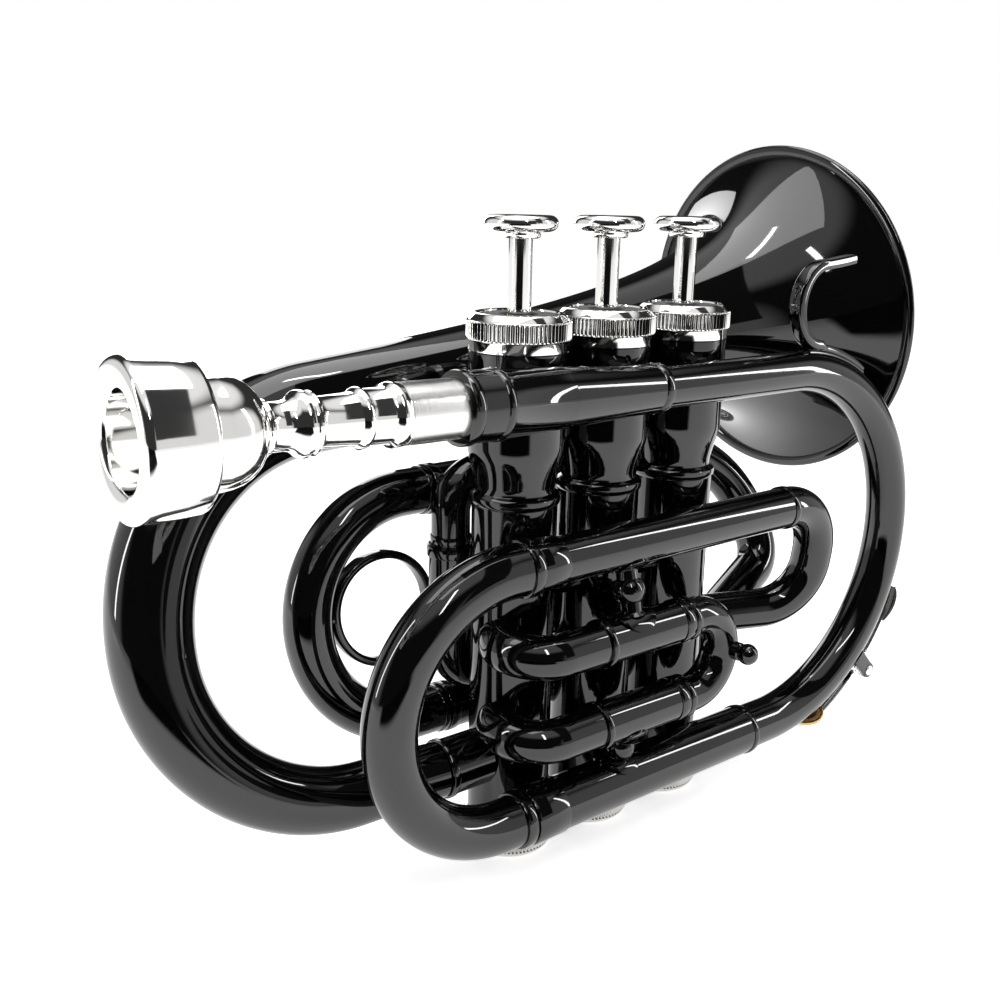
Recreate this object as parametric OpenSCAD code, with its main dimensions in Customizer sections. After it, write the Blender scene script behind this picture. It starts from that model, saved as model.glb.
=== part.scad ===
// Pocket trumpet: a compact horn with three piston valves, folded tubing,
// four tuning slides, a water key and a removable mouthpiece.
// Origin: middle valve axis at the flat face of its bottom cap.
// +X runs forward to the bell, +Y to the player's left, +Z up.

/* [Valves] */
// Distance between neighbouring valve axes
valve_pitch = 25.4; // [25.2:0.1:26]
// Number of valves is three; this is the bore radius of each casing
valve_bore_r = 7.95; // [7.6:0.05:8.05]
// Radial running clearance of a piston in its casing
piston_clearance = 0.05; // [0.02:0.01:0.1]
// Outer radius of the lower casing tube
casing_low_r = 9.7; // [9.6:0.05:9.75]
// Outer radius of the upper casing tube
casing_top_r = 10.9; // [10.6:0.05:10.95]
// Narrowest outer radius of the casing, above the bead
casing_neck_r = 8.9; // [8.8:0.05:9.2]
// Outer radius of the bead round the casing
casing_bead_r = 10.25; // [10:0.05:10.4]
// Height of the bead's lower edge
casing_bead_z = 85.2; // [84:0.2:86]
// Height of the bead
casing_bead_h = 2.2; // [1.6:0.1:2.6]
// Height of the casing's shoulder, where the top cap seats
casing_shoulder_z = 118.9; // [118:0.1:119.5]
// Travel of a valve from rest to fully pressed
valve_travel = 15.6; // [14:0.1:15.8]
// Height of the piston's lower end at rest
piston_z = 19; // [18.6:0.1:20]
// Radius of the passages through a piston
piston_port_r = 4.3; // [3.8:0.1:4.5]
// Wall of the spring barrel on top of a piston
barrel_wall = 0.9; // [0.7:0.1:1]
// Thickness of the valve guide
guide_t = 2; // [1.6:0.1:2.4]
// Width of the guide's two arms
guide_arm_w = 4; // [3:0.1:5]
// Radius of a valve stem
stem_r = 2.55; // [2.3:0.05:2.7]
// Radius of a finger button
button_r = 7.93; // [7.5:0.05:8.4]
// Height of a finger button
button_h = 4.6; // [4:0.1:5.5]

/* [Caps] */
// Outer radius of the top cap's knurled band
top_cap_r = 11.48; // [11.3:0.02:11.6]
// Height of a top cap above the casing's shoulder
top_cap_h = 8.34; // [8:0.02:8.8]
// Radius of the top cap's upper rim
top_cap_rim_r = 9.44; // [9.2:0.02:9.8]
// Outer radius of the bottom cap's knurled band
bottom_cap_r = 10.97; // [10.8:0.01:11.2]
// Height of a bottom cap
bottom_cap_h = 8; // [7:0.2:9]
// Number of teeth round a knurled band
knurl_teeth = 60; // [40:1:72]

/* [Mouthpiece and leadpipe] */
// Distance of the near-side tubing plane from the valve axes
plane_y = 17.3; // [17.3:0.1:18.5]
// Height of the leadpipe's axis at its front joint
lead_z = 110.9; // [110.5:0.1:111.5]
// Place along X of the joint between leadpipe and front bow
lead_joint_x = 0.7; // [-2:0.1:3]
// Upward tilt of the leadpipe towards the mouthpiece
lead_tilt = 0.87; // [0:0.01:1.2]
// Distance from the front joint to the receiver's mouth
receiver_mouth_u = 55.5; // [54:0.5:58]
// Distance from the front joint to the mouthpiece's rim
rim_u = 120; // [118:0.5:124]
// Outer radius of the mouthpiece's rim
rim_r = 13.6; // [13:0.1:14.2]
// Inner radius of the mouthpiece's rim
cup_r = 8.3; // [8:0.1:8.8]
// Depth of the mouthpiece's cup
cup_depth = 13; // [11:0.5:15]
// Radius of the mouthpiece's throat
throat_r = 1.85; // [1.7:0.05:2.2]
// Length of the shank inside the receiver
shank_depth = 23; // [20:0.5:25]
// Outer radius of the leadpipe at its front joint
lead_r = 5.3; // [5:0.05:5.5]

/* [Tubing] */
// Wall of the tubes
tube_wall = 0.45; // [0.35:0.05:0.6]
// Radial running clearance of a slide in its sleeve
slide_clearance = 0.05; // [0.02:0.01:0.1]
// Gap between a slide's bead and its sleeve at rest
slide_gap = 0.3; // [0.2:0.05:0.5]
// How far a bead ring stands out from its tube
bead_height = 0.55; // [0.4:0.05:0.7]
// Bend radius of the large front bow
front_bow_r = 47; // [46:0.1:47.5]
// Place along X of the large front bow's centre
front_bow_x = 47.9; // [46:0.1:50]
// Tube radius of the front bow where it leaves the leadpipe
front_bow_tube_start_r = 4.7; // [4.5:0.05:5]
// Tube radius of the front bow where it meets the lower tuning sleeve
front_bow_tube_end_r = 5.8; // [5.6:0.05:6]
// Height of the upper return tube's axis
upper_tube_z = 76; // [75.6:0.1:76.6]
// Radius of the upper return tube
upper_tube_r = 5.2; // [5:0.05:5.4]
// Radius of the lower tuning sleeve
lower_sleeve_r = 6.2; // [6.1:0.05:6.4]
// Place along X of the tuning sleeves' open ends
tuning_mouth_x = -34.8; // [-36:0.1:-33]
// Place along X of the tuning bow's centre
tuning_bow_x = -40.2; // [-42:0.1:-40]
// Radius of the tuning bow's tube
tuning_bow_tube_r = 5.8; // [5.6:0.05:6]
// Length of the tuning slide's legs inside their sleeves
tuning_leg = 42; // [38:1:46]

/* [Bell] */
// Radius of the bell at its rim
bell_r = 47; // [44:0.5:48]
// Place of the rim's centre
bell_rim = [98.4, 30.6, 119.2];
// Upward pitch of the bell's axis towards the rim
bell_pitch = 5.06; // [4.6:0.02:5.5]
// Length of the bell's straight part
bell_length = 154; // [150:1:156]
// Wall of the bell
bell_wall = 0.7; // [0.5:0.05:0.9]
// Length scale of the bell's flare
bell_flare = 20.78; // [19:0.1:22]
// Bend radius of the upper part of the bell's rear bow
bell_bend_top = 47.4; // [46:0.1:48]
// Bend radius of the lower part of the bell's rear bow
bell_bend_low = 38.8; // [37:0.1:40]
// Height of the bell's tail where it meets the first valve
bell_tail_z = 24.5; // [24:0.1:24.6]

/* [Valve slides] */
// Distance of the first slide's plane from the valve axes
first_y = 20; // [19.8:0.1:21]
// Height of the first slide's upper and lower legs
first_z = [55, 34.9];
// Radius of the first slide's sleeves
first_sleeve_r = 5.1; // [5:0.05:5.2]
// Place along X of the rear and front ends of the first slide's sleeves
first_sleeve_x = [-15, 10];
// Place along X of the first slide bow's centre
first_bow_x = 14.5; // [14:0.1:16]
// Direction of the first slide's ports, in degrees from +X
first_port_angle = 213; // [211:0.5:214]
// Distance of the second slide's plane from the valve axes
second_y = 15.2; // [15:0.05:15.2]
// Place along X of the second slide's rear leg
second_rear_x = -32.2; // [-33:0.1:-32]
// Place along X of the second slide's front leg
second_front_x = -15.4; // [-15.6:0.1:-15]
// Height where the second slide's bow starts
second_bow_z = 80; // [79:0.1:81]
// Height of the second slide's sleeve mouths
second_mouth_z = 72.5; // [70:0.5:73.5]
// Heights of the second slide's rear and front ports
second_port_z = [39.5, 52];
// Place of the third slide's upper sleeve, along Y and Z
third_top = [26, 83.1];
// Place of the third slide's lower sleeve, along Y and Z
third_low = [19.1, 28.9];
// Radius of the third slide's sleeves
third_sleeve_r = 5.85; // [5.7:0.05:5.9]
// Place along X of the third slide's sleeve mouths
third_mouth_x = -32.5; // [-34:0.5:-30]
// Leftmost place along X of the third slide bow's axis
third_bow_x = -66.2; // [-68:0.1:-65]
// Radius of the finger ring
ring_r = 13.8; // [12.5:0.1:13.9]
// Width of the finger ring's band
ring_w = 4; // [3:0.1:5]

/* [Fittings] */
// Place along X of the two ball braces
brace_x = -6.5; // [-9:0.5:-3]
// Radius of a ball brace's ball
brace_ball_r = 2.8; // [2.4:0.1:2.9]
// Width of the finger hook's strip
hook_w = 6; // [5:0.1:7]
// Thickness of the finger hook's strip
hook_t = 1.5; // [1.2:0.1:2]
// Bend radius of the finger hook, to the middle of its strip
hook_bend = 10.5; // [9.5:0.1:11]
// Angle round the front bow of the water key's cup, from +X
key_cup_angle = -68.5; // [-70:0.5:-67]
// Angle round the front bow of the water key's pivot, from +X
key_pivot_angle = -46; // [-48:0.5:-44]
// Radius of the water key's pivot pin
key_pin_r = 0.9; // [0.8:0.05:1.1]
// Direction of the first slide's knob, in degrees from +X
knob_angle = -80; // [-88:1:-60]
// Curls of the water key's spring on each side of the lever
key_curls = 2; // [1:1:2]

/* [Hidden] */
$fn = 64;

lacquer = "#141414";
silver = "#d8d8d6";
valve_x = [-valve_pitch, 0, valve_pitch];

// Heights inside a valve
cap_thread_h = 3.4;
cap_floor = 2;
vent_x = 5;
casing_top_z = casing_shoulder_z + cap_thread_h;
piston_r = valve_bore_r - piston_clearance;
piston_head_z = 84;
guide_z = 89.2;
barrel_top_z = 116;
barrel_plate_z = 119;
barrel_r = piston_r - barrel_wall;
spring_r = barrel_r - 0.4;
spring_wire = 1;
recess_z = casing_shoulder_z + top_cap_h - 2;
cap_rim_z = casing_shoulder_z + top_cap_h;
felt_top_z = cap_rim_z - 0.4;
button_z = felt_top_z + valve_travel + 0.2;
stem_bore_r = stem_r + 0.1;
neck_z = casing_bead_z + casing_bead_h + 0.6;
cone_top_z = 97;
keyway_r = valve_bore_r + 0.4;

// Ports of the casings: height, direction and bore radius
connect_z = 66;
first_bore_r = 4.35;
second_bore_r = 4.5;
third_bore_r = 5.1;
inlet_z = 45.5;
inlet_corner = [64.7, -plane_y + 3.3, inlet_z];
third_corner = [77.8, 11.6, 48.7];
third_end_z = 27.3;
tail_tube_r = 6.5;
inlet_angle = atan2(inlet_corner[1], inlet_corner[0] - valve_pitch);
third_front_angle = atan2(third_corner[1], third_corner[0] - valve_pitch);

// Near-side tubing
front_bow_z = lead_z - front_bow_r;
low_z = lead_z - 2 * front_bow_r;
lower_sleeve_x = 39.2;
upper_tube_end_x = 49.5;
tuning_bend = (upper_tube_z - low_z) / 2;
tuning_mid_z = (upper_tube_z + low_z) / 2;
bead_w = 2.6;
ferrule_len = [7, 9];
inlet_bend = 15;
turn_joint = 0.02;
lead_split_u = receiver_mouth_u - shank_depth - 3.5;
collar_len = 8;

// First slide
first_bend = (first_z[0] - first_z[1]) / 2;
first_elbow_bend = 8.8;
first_leg_r = first_sleeve_r - tube_wall - slide_clearance;
first_reach = first_y / -sin(first_port_angle);
first_corner_x = valve_x[0] + first_reach * cos(first_port_angle);

// Second slide
second_bend = (second_front_x - second_rear_x) / 2;
second_sleeve_r = 5.1;
second_leg_r = second_sleeve_r - tube_wall - slide_clearance;
second_leg_z = 61;
second_turn_x = -13;
second_elbow_bend = 7.5;

// Third slide
third_span = [0, third_top[0] - third_low[0], third_top[1] - third_low[1]];
third_bend = round(norm(third_span) * 50) / 100;
third_lean = atan2(third_span[1], third_span[2]);
third_bow_tube_r = 5.6;
third_leg_r = third_sleeve_r - tube_wall - slide_clearance;
third_leg_end_x = 6;
third_joint_x = 42;
third_elbow_bend = 8.2;
third_mid_z = (third_top[1] + third_low[1]) / 2;
ring_z = 57;
ring_x = third_bow_x + third_bow_tube_r + 0.2 + ring_r;

// Bell
bell_axis = [cos(bell_pitch), 0, sin(bell_pitch)];
bell_joint = bell_rim - bell_length * bell_axis;
bell_rear_x = bell_joint[0] - 48.66;
bell_path_ends = [[bell_rear_x, bell_joint[1], bell_joint[2] - 4.32], [bell_rear_x, 5.5, 24.1], [-46, 0, bell_tail_z]];
tail_ferrule_x = -46;
bell_tail_table = [[156, 9.84], [231, 8.22], [278, 6.77], [318, 5.29]];
bell_bands = 30;
bow_sides = 24;

// Water key
key_radius = front_bow_r + front_bow_tube_end_r;
key_pin_radius = front_bow_r + 10;
key_width = 7.6;
key_arm_w = 2.4;
key_boss_r = 1.9;
key_play = 0.05;
key_wire_r = 0.3;
key_curl_r = key_boss_r + 0.6;
key_cup_r = 4.3;
key_cork_t = 1.2;
key_curl_pitch = 1;
nipple_r = 2.6;
nipple_bore_r = 1.5;
cup_seat = key_radius + 1.6;

// Geometry helpers
function unit(v) = v / norm(v);

function turn_half(a, b, c) = acos(max(-1, min(1, unit(b - a) * unit(c - b)))) / 2;

function tangent_length(a, b, c, bend) = bend * tan(turn_half(a, b, c));

function bend_centre(a, b, c, bend) =
    b + unit(unit(a - b) + unit(c - b)) * bend / cos(turn_half(a, b, c));

function bend_start(a, b, c, bend) = b + unit(a - b) * tangent_length(a, b, c, bend);

function bend_end(a, b, c, bend) = b + unit(c - b) * tangent_length(a, b, c, bend);

function run_start(points, bends, i) =
    i == 0 ? points[0] : bend_end(points[i - 1], points[i], points[i + 1], bends[i - 1]);

function run_end(points, bends, i) =
    i == len(points) - 2 ? points[i + 1]
    : bend_start(points[i], points[i + 1], points[i + 2], bends[i]);

function bend_points(a, b, c, bend, steps) =
    let (
        centre = bend_centre(a, b, c, bend),
        e1 = unit(bend_start(a, b, c, bend) - centre),
        e2 = unit(b - a),
        sweep = 2 * turn_half(a, b, c)
    )
    [for (i = [0:steps]) centre + bend * (cos(sweep * i / steps) * e1 + sin(sweep * i / steps) * e2)];

function run_length(path, i) = i == 0 ? 0 : norm(path[i] - path[i - 1]) + run_length(path, i - 1);

function path_tangent(path, i) =
    i == 0 ? unit(path[1] - path[0])
    : i == len(path) - 1 ? unit(path[i] - path[i - 1])
    : unit(unit(path[i + 1] - path[i]) + unit(path[i] - path[i - 1]));

function ring_points(centre, along, r, sides) =
    let (side = unit(cross(along, [0, 1, 0])), up = cross(side, along))
    [for (j = [0:sides - 1]) centre + r * (cos(360 * j / sides) * side + sin(360 * j / sides) * up)];

function skin(first, rings, sides, flip) =
    [for (i = [0:rings - 2], j = [0:sides - 1])
        let (
            a = first + i * sides + j,
            b = first + i * sides + (j + 1) % sides,
            c = b + sides,
            d = a + sides
        )
        each flip ? [[a, b, c], [a, c, d]] : [[a, c, b], [a, d, c]]];

function end_ring(outer, inner, sides, flip) =
    [for (j = [0:sides - 1])
        let (a = outer + j, b = outer + (j + 1) % sides, c = inner + (j + 1) % sides, d = inner + j)
        each flip ? [[a, c, b], [a, d, c]] : [[a, b, c], [a, c, d]]];

function knurl(r, teeth, depth) =
    [for (i = [0:2 * teeth - 1])
        let (rad = i % 2 == 0 ? r : r - depth)
        [rad * cos(180 * i / teeth), rad * sin(180 * i / teeth)]];

// A straight round bar from point a to point b
module bar(a, b, r) {
    d = b - a;
    length = norm(d);
    if (length > 0.01)
        translate(a)
            rotate([0, acos(d[2] / length), atan2(d[1], d[0])])
                cylinder(r = r, h = length);
}

// Places its children in the plane of a bend, about the bend's centre
module bend_frame(a, b, c, bend) {
    centre = bend_centre(a, b, c, bend);
    e1 = unit(bend_start(a, b, c, bend) - centre);
    e2 = unit(b - a);
    e3 = cross(e1, e2);
    multmatrix([
        [e1[0], e2[0], e3[0], centre[0]],
        [e1[1], e2[1], e3[1], centre[1]],
        [e1[2], e2[2], e3[2], centre[2]],
        [0, 0, 0, 1]
    ])
        children();
}

// A round bar bent about one corner
module bent_bar(a, b, c, bend, r) {
    bend_frame(a, b, c, bend)
        rotate_extrude(angle = 2 * turn_half(a, b, c))
            translate([bend, 0])
                circle(r);
}

// A round bar that follows a run of points, with a bend at each inner point
module bar_run(points, bends, r) {
    last = len(points) - 1;
    for (i = [0:last - 1])
        bar(run_start(points, bends, i), run_end(points, bends, i), r);
    for (i = [1:last - 1])
        bent_bar(points[i - 1], points[i], points[i + 1], bends[i - 1], r);
}

// A straight hollow tube
module tube(a, b, r, wall) {
    difference() {
        bar(a, b, r);
        bar(a, b, r - wall);
    }
}

// A straight hollow tube up from the origin
module pipe(h, r, wall) {
    difference() {
        cylinder(r = r, h = h);
        translate([0, 0, -1])
            cylinder(r = r - wall, h = h + 2);
    }
}

// A hollow tube bent about one corner, with straight parts before and after the bend
module elbow(a, b, c, bend, before, after, r, wall) {
    turn = 2 * turn_half(a, b, c);
    parting = abs(turn - 90) < 0.001 ? 0 : turn_joint;
    bend_frame(a, b, c, bend) {
        difference() {
            rotate_extrude(angle = turn)
                translate([bend, 0])
                    circle(r);
            rotate_extrude(angle = turn)
                translate([bend, 0])
                    circle(r - wall);
        }
        if (before > 0.01)
            translate([bend, 0, 0])
                rotate([90, 0, 0])
                    pipe(before, r, wall);
        if (after > 0.01)
            rotate([0, 0, turn])
                translate([bend, parting, 0])
                    rotate([-90, 0, 0])
                        pipe(after - parting, r, wall);
    }
}

// A hollow half-round bend about the origin, with a straight leg down from each end
module return_bend(bend, leg, r, wall) {
    difference() {
        rotate_extrude(angle = 180)
            translate([bend, 0])
                circle(r);
        rotate_extrude(angle = 180)
            translate([bend, 0])
                circle(r - wall);
    }
    for (side = [-1, 1])
        translate([side * bend, 0, 0])
            rotate([90, 0, 0])
                pipe(leg, r, wall);
}

// A hollow tube that follows a run of points, with a bend at each inner point
module tube_run(points, bends, r, wall, joint = 0) {
    last = len(points) - 1;
    for (i = [1:last - 1]) {
        a = points[i - 1];
        b = points[i];
        c = points[i + 1];
        used = tangent_length(a, b, c, bends[i - 1]);
        next = i == last - 1 ? 0 : tangent_length(b, c, points[i + 2], bends[i]) + joint;
        elbow(a, b, c, bends[i - 1], i == 1 ? norm(b - a) - used : 0, norm(c - b) - used - next, r, wall);
    }
}

// A hollow tube whose radius changes along a path of points
module tapered_tube(path, radii, wall, sides) {
    rings = len(path);
    outer = [for (i = [0:rings - 1]) each ring_points(path[i], path_tangent(path, i), radii[i], sides)];
    inner = [for (i = [0:rings - 1]) each ring_points(path[i], path_tangent(path, i), radii[i] - wall, sides)];
    shift = rings * sides;
    polyhedron(
        points = concat(outer, inner),
        faces = concat(
            skin(0, rings, sides, false),
            skin(shift, rings, sides, true),
            end_ring(0, shift, sides, false),
            end_ring(shift - sides, 2 * shift - sides, sides, true)
        )
    );
}

// The space of valve i's casing, which the tubes that meet it are cut to
module casing_space(i) {
    translate([valve_x[i], 0, 0])
        cylinder(r = casing_low_r, h = casing_bead_z);
}

// A port through a casing's wall
module port(z, angle, r) {
    translate([0, 0, z])
        rotate([0, 90, angle])
            cylinder(r = r, h = casing_top_r + 1);
}

// Places its children along the leadpipe, with +Z towards the mouthpiece
module along_leadpipe() {
    translate([lead_joint_x, -plane_y, lead_z])
        rotate([0, lead_tilt - 90, 0])
            children();
}

// Places its children at an angle round the front bow, with +X outward and +Y to the player's right
module round_front_bow(angle) {
    translate([front_bow_x, -plane_y, front_bow_z])
        rotate([90, 0, 0])
            rotate([0, 0, angle])
                children();
}

// Valves
module valve_casing(i, ports) {
    color(lacquer)
        translate([valve_x[i], 0, 0])
            difference() {
                rotate_extrude()
                    polygon([
                        [valve_bore_r, cap_floor],
                        [casing_low_r, cap_floor],
                        [casing_low_r, casing_bead_z],
                        [casing_bead_r - 0.4, casing_bead_z],
                        [casing_bead_r, casing_bead_z + 0.5],
                        [casing_bead_r, casing_bead_z + casing_bead_h - 0.5],
                        [casing_bead_r - 0.4, casing_bead_z + casing_bead_h],
                        [casing_neck_r, casing_bead_z + casing_bead_h],
                        [casing_neck_r, neck_z],
                        [casing_top_r, cone_top_z],
                        [casing_top_r, casing_shoulder_z],
                        [casing_low_r, casing_shoulder_z],
                        [casing_low_r, casing_top_z],
                        [valve_bore_r, casing_top_z]
                    ]);
                for (p = ports)
                    port(p[0], p[1], p[2]);
                for (a = [0, 180])
                    rotate([0, 0, a])
                        intersection() {
                            translate([0, -guide_arm_w / 2 - 0.1, guide_z])
                                cube([casing_top_r, guide_arm_w + 0.2, casing_top_z]);
                            cylinder(r = keyway_r + 0.05, h = 2 * casing_top_z);
                        }
            }
}

module valve_1_casing() {
    valve_casing(0, [
        [connect_z, 0, third_bore_r],
        [bell_tail_z, 180, third_bore_r],
        [first_z[0], first_port_angle, first_bore_r],
        [first_z[1], first_port_angle, first_bore_r]
    ]);
}

module valve_2_casing() {
    valve_casing(1, [
        [connect_z, 0, third_bore_r],
        [connect_z, 180, third_bore_r],
        [second_port_z[0], atan2(second_y, second_turn_x), second_bore_r],
        [second_port_z[1], atan2(second_y, second_front_x), second_bore_r]
    ]);
}

module valve_3_casing() {
    valve_casing(2, [
        [connect_z, 180, third_bore_r],
        [inlet_z, inlet_angle, second_bore_r],
        [third_end_z + 3, third_front_angle, second_bore_r],
        [third_low[1], 90, third_bore_r]
    ]);
}

module top_cap(i) {
    color(silver)
        translate([valve_x[i], 0, 0])
            difference() {
                union() {
                    rotate_extrude()
                        polygon([
                            [stem_bore_r, casing_top_z],
                            [casing_low_r + 0.05, casing_top_z],
                            [casing_low_r + 0.05, casing_shoulder_z],
                            [casing_top_r, casing_shoulder_z],
                            [casing_top_r, cap_rim_z - 1.5],
                            [top_cap_rim_r, cap_rim_z],
                            [top_cap_rim_r - 0.8, cap_rim_z],
                            [top_cap_rim_r - 0.8, recess_z],
                            [stem_r + 1.5, recess_z],
                            [stem_r + 1.5, cap_rim_z - 0.6],
                            [stem_bore_r, cap_rim_z - 0.6]
                        ]);
                    translate([0, 0, casing_shoulder_z + 2.7])
                        difference() {
                            linear_extrude(4)
                                polygon(knurl(top_cap_r, knurl_teeth, 0.35));
                            translate([0, 0, -1])
                                cylinder(r = casing_top_r - 0.1, h = 6);
                        }
                }
            }
}

module valve_1_top_cap() { top_cap(0); }
module valve_2_top_cap() { top_cap(1); }
module valve_3_top_cap() { top_cap(2); }

module bottom_cap(i) {
    color(silver)
        translate([valve_x[i], 0, 0])
            difference() {
                union() {
                    rotate_extrude()
                        polygon([
                            [0, 0],
                            [bottom_cap_r - 2, 0],
                            [bottom_cap_r - 0.9, 0.5],
                            [bottom_cap_r - 0.4, 1.2],
                            [bottom_cap_r - 0.4, bottom_cap_h - 0.4],
                            [bottom_cap_r - 0.8, bottom_cap_h],
                            [casing_low_r + 0.05, bottom_cap_h],
                            [casing_low_r + 0.05, cap_floor],
                            [0, cap_floor]
                        ]);
                    translate([0, 0, 1.6])
                        difference() {
                            linear_extrude(bottom_cap_h - 2.4)
                                polygon(knurl(bottom_cap_r, knurl_teeth, 0.35));
                            translate([0, 0, -1])
                                cylinder(r = bottom_cap_r - 0.5, h = bottom_cap_h);
                        }
                }
                translate([vent_x, 0, -1])
                    cylinder(r = 1.2, h = cap_floor + 2);
            }
}

module valve_1_bottom_cap() { bottom_cap(0); }
module valve_2_bottom_cap() { bottom_cap(1); }
module valve_3_bottom_cap() { bottom_cap(2); }

// A piston: ported body below, slotted spring barrel above, and the end plate that carries the stem
module piston(i, passages) {
    color(silver)
        translate([valve_x[i], 0, 0])
            difference() {
                translate([0, 0, piston_z])
                    cylinder(r = piston_r, h = barrel_plate_z - piston_z);
                translate([0, 0, piston_head_z])
                    cylinder(r = barrel_r, h = barrel_top_z - piston_head_z);
                translate([0, 0, piston_z - 1])
                    cylinder(r = piston_r - 1, h = 4);
                for (p = passages)
                    translate([0, 0, p[0]])
                        rotate([0, 90, p[1]])
                            translate([0, 0, -valve_bore_r - 1])
                                cylinder(r = piston_port_r, h = 2 * valve_bore_r + 2);
                translate([-valve_bore_r - 1, -guide_arm_w / 2 - 0.2, guide_z - 0.3])
                    cube([2 * valve_bore_r + 2, guide_arm_w + 0.4, guide_t + 0.6 + valve_travel]);
                translate([0, 0, barrel_top_z - 1])
                    cylinder(r = stem_r, h = barrel_plate_z - barrel_top_z + 2);
            }
}

module valve_1_piston() { piston(0, [[connect_z, 0], [first_z[0] - 5, 33], [first_z[1] + 1, 33]]); }
module valve_2_piston() { piston(1, [[connect_z, 0], [second_port_z[1], 135], [second_port_z[0], 131]]); }
module valve_3_piston() { piston(2, [[connect_z, 0], [inlet_z + 5, 0], [third_low[1] + 8, 90]]); }

module stem(i) {
    color(silver)
        translate([valve_x[i], 0, barrel_top_z])
            cylinder(r = stem_r, h = button_z + button_h / 2 - barrel_top_z);
}

module valve_1_stem() { stem(0); }
module valve_2_stem() { stem(1); }
module valve_3_stem() { stem(2); }

// A finger button with a rounded rim and a dished top
module button(i) {
    color(silver)
        translate([valve_x[i], 0, button_z])
            difference() {
                union() {
                    cylinder(r = 4.2, h = 1.6);
                    translate([0, 0, 1.4])
                        cylinder(r = button_r - 1.6, h = button_h - 2.2);
                    translate([0, 0, button_h / 2 + 0.6])
                        rotate_extrude()
                            translate([button_r - 1.6, 0])
                                circle(1.6);
                }
                translate([0, 0, -1])
                    cylinder(r = stem_r, h = 1 + button_h / 2);
                translate([0, 0, button_h + 17])
                    sphere(r = 18.2);
            }
}

module valve_1_button() { button(0); }
module valve_2_button() { button(1); }
module valve_3_button() { button(2); }

// A valve spring, shown as the sleeve that its coils fill between guide and end plate
module valve_spring(i) {
    color("#a8a8a6")
        tube(
            [valve_x[i], 0, guide_z + guide_t],
            [valve_x[i], 0, barrel_top_z - 0.3],
            spring_r, spring_wire
        );
}

module valve_1_spring() { valve_spring(0); }
module valve_2_spring() { valve_spring(1); }
module valve_3_spring() { valve_spring(2); }

module stem_felt(i) {
    color("#2b2b2b")
        translate([valve_x[i], 0, barrel_plate_z])
            difference() {
                cylinder(r = barrel_r, h = casing_top_z - barrel_plate_z - slide_gap);
                translate([0, 0, -1])
                    cylinder(r = stem_r, h = 6);
            }
}

module valve_1_stem_felt() { stem_felt(0); }
module valve_2_stem_felt() { stem_felt(1); }
module valve_3_stem_felt() { stem_felt(2); }

module top_cap_felts() {
    color("#161616")
        for (x = valve_x)
            translate([x, 0, recess_z])
                difference() {
                    cylinder(r = top_cap_rim_r - 0.85, h = felt_top_z - recess_z);
                    translate([0, 0, -1])
                        cylinder(r = stem_r + 1.55, h = 4);
                }
}

module valve_guides() {
    color("#e8e4d8")
        for (x = valve_x)
            translate([x, 0, guide_z])
                difference() {
                    union() {
                        cylinder(r = barrel_r - 0.2, h = guide_t);
                        intersection() {
                            translate([-keyway_r, -guide_arm_w / 2, 0])
                                cube([2 * keyway_r, guide_arm_w, guide_t]);
                            cylinder(r = keyway_r, h = guide_t);
                        }
                    }
                    translate([0, 0, -1])
                        cylinder(r = 3, h = guide_t + 2);
                }
}

module valve_connecting_tubes() {
    color(lacquer)
        for (i = [0, 1])
            difference() {
                tube(
                    [valve_x[i], 0, connect_z],
                    [valve_x[i + 1], 0, connect_z],
                    third_bore_r + tube_wall, tube_wall
                );
                casing_space(i);
                casing_space(i + 1);
            }
}

// Mouthpiece: u runs from the leadpipe's front joint towards the player
module mouthpiece() {
    shank_end_u = receiver_mouth_u - shank_depth;
    cup_end_u = rim_u - cup_depth;
    color(silver)
        along_leadpipe()
            rotate_extrude()
                polygon([
                    [cup_r, rim_u - 1.2],
                    [cup_r + 0.9, rim_u - 0.3],
                    [cup_r + 2.6, rim_u],
                    [rim_r - 1, rim_u - 0.5],
                    [rim_r, rim_u - 2],
                    [rim_r, rim_u - 6.5],
                    [rim_r - 3.2, rim_u - 14.6],
                    [rim_r - 2.6, rim_u - 15],
                    [rim_r - 2.8, rim_u - 18],
                    [rim_r - 4.6, rim_u - 21.5],
                    [5.4, rim_u - 25],
                    [5, rim_u - 27],
                    [6, rim_u - 29.5],
                    [6.6, rim_u - 31],
                    [6.6, rim_u - 33],
                    [4.4, rim_u - 35.2],
                    [4.4, rim_u - 41],
                    [5.9, rim_u - 42.2],
                    [5.9, rim_u - 43.8],
                    [5.1, rim_u - 45],
                    [5.1, rim_u - 48.4],
                    [6.3, rim_u - 49.4],
                    [6.3, rim_u - 51.2],
                    [6, rim_u - 52],
                    [5.9, receiver_mouth_u],
                    [5, shank_end_u],
                    [4.1, shank_end_u],
                    [throat_r, cup_end_u - 16],
                    [throat_r, cup_end_u - 4],
                    [3.4, cup_end_u],
                    [6.4, cup_end_u + 4],
                    [7.6, cup_end_u + 8]
                ]);
}

module mouthpiece_receiver() {
    mouth = receiver_mouth_u - slide_gap;
    color(lacquer)
        along_leadpipe()
            rotate_extrude()
                polygon([
                    [5.9 + slide_clearance, mouth],
                    [7.2, mouth],
                    [7.5, mouth - 0.6],
                    [7.5, mouth - 2],
                    [7.1, mouth - 2.6],
                    [7.1, mouth - collar_len],
                    [7.35, mouth - collar_len - 0.4],
                    [7.35, mouth - collar_len - 1.4],
                    [7, mouth - collar_len - 1.8],
                    [6.45, lead_split_u],
                    [4.7, lead_split_u],
                    [4.7, receiver_mouth_u - shank_depth - 0.5],
                    [5 + slide_clearance, receiver_mouth_u - shank_depth - 0.5],
                    [5 + slide_clearance, receiver_mouth_u - shank_depth]
                ]);
}

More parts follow.
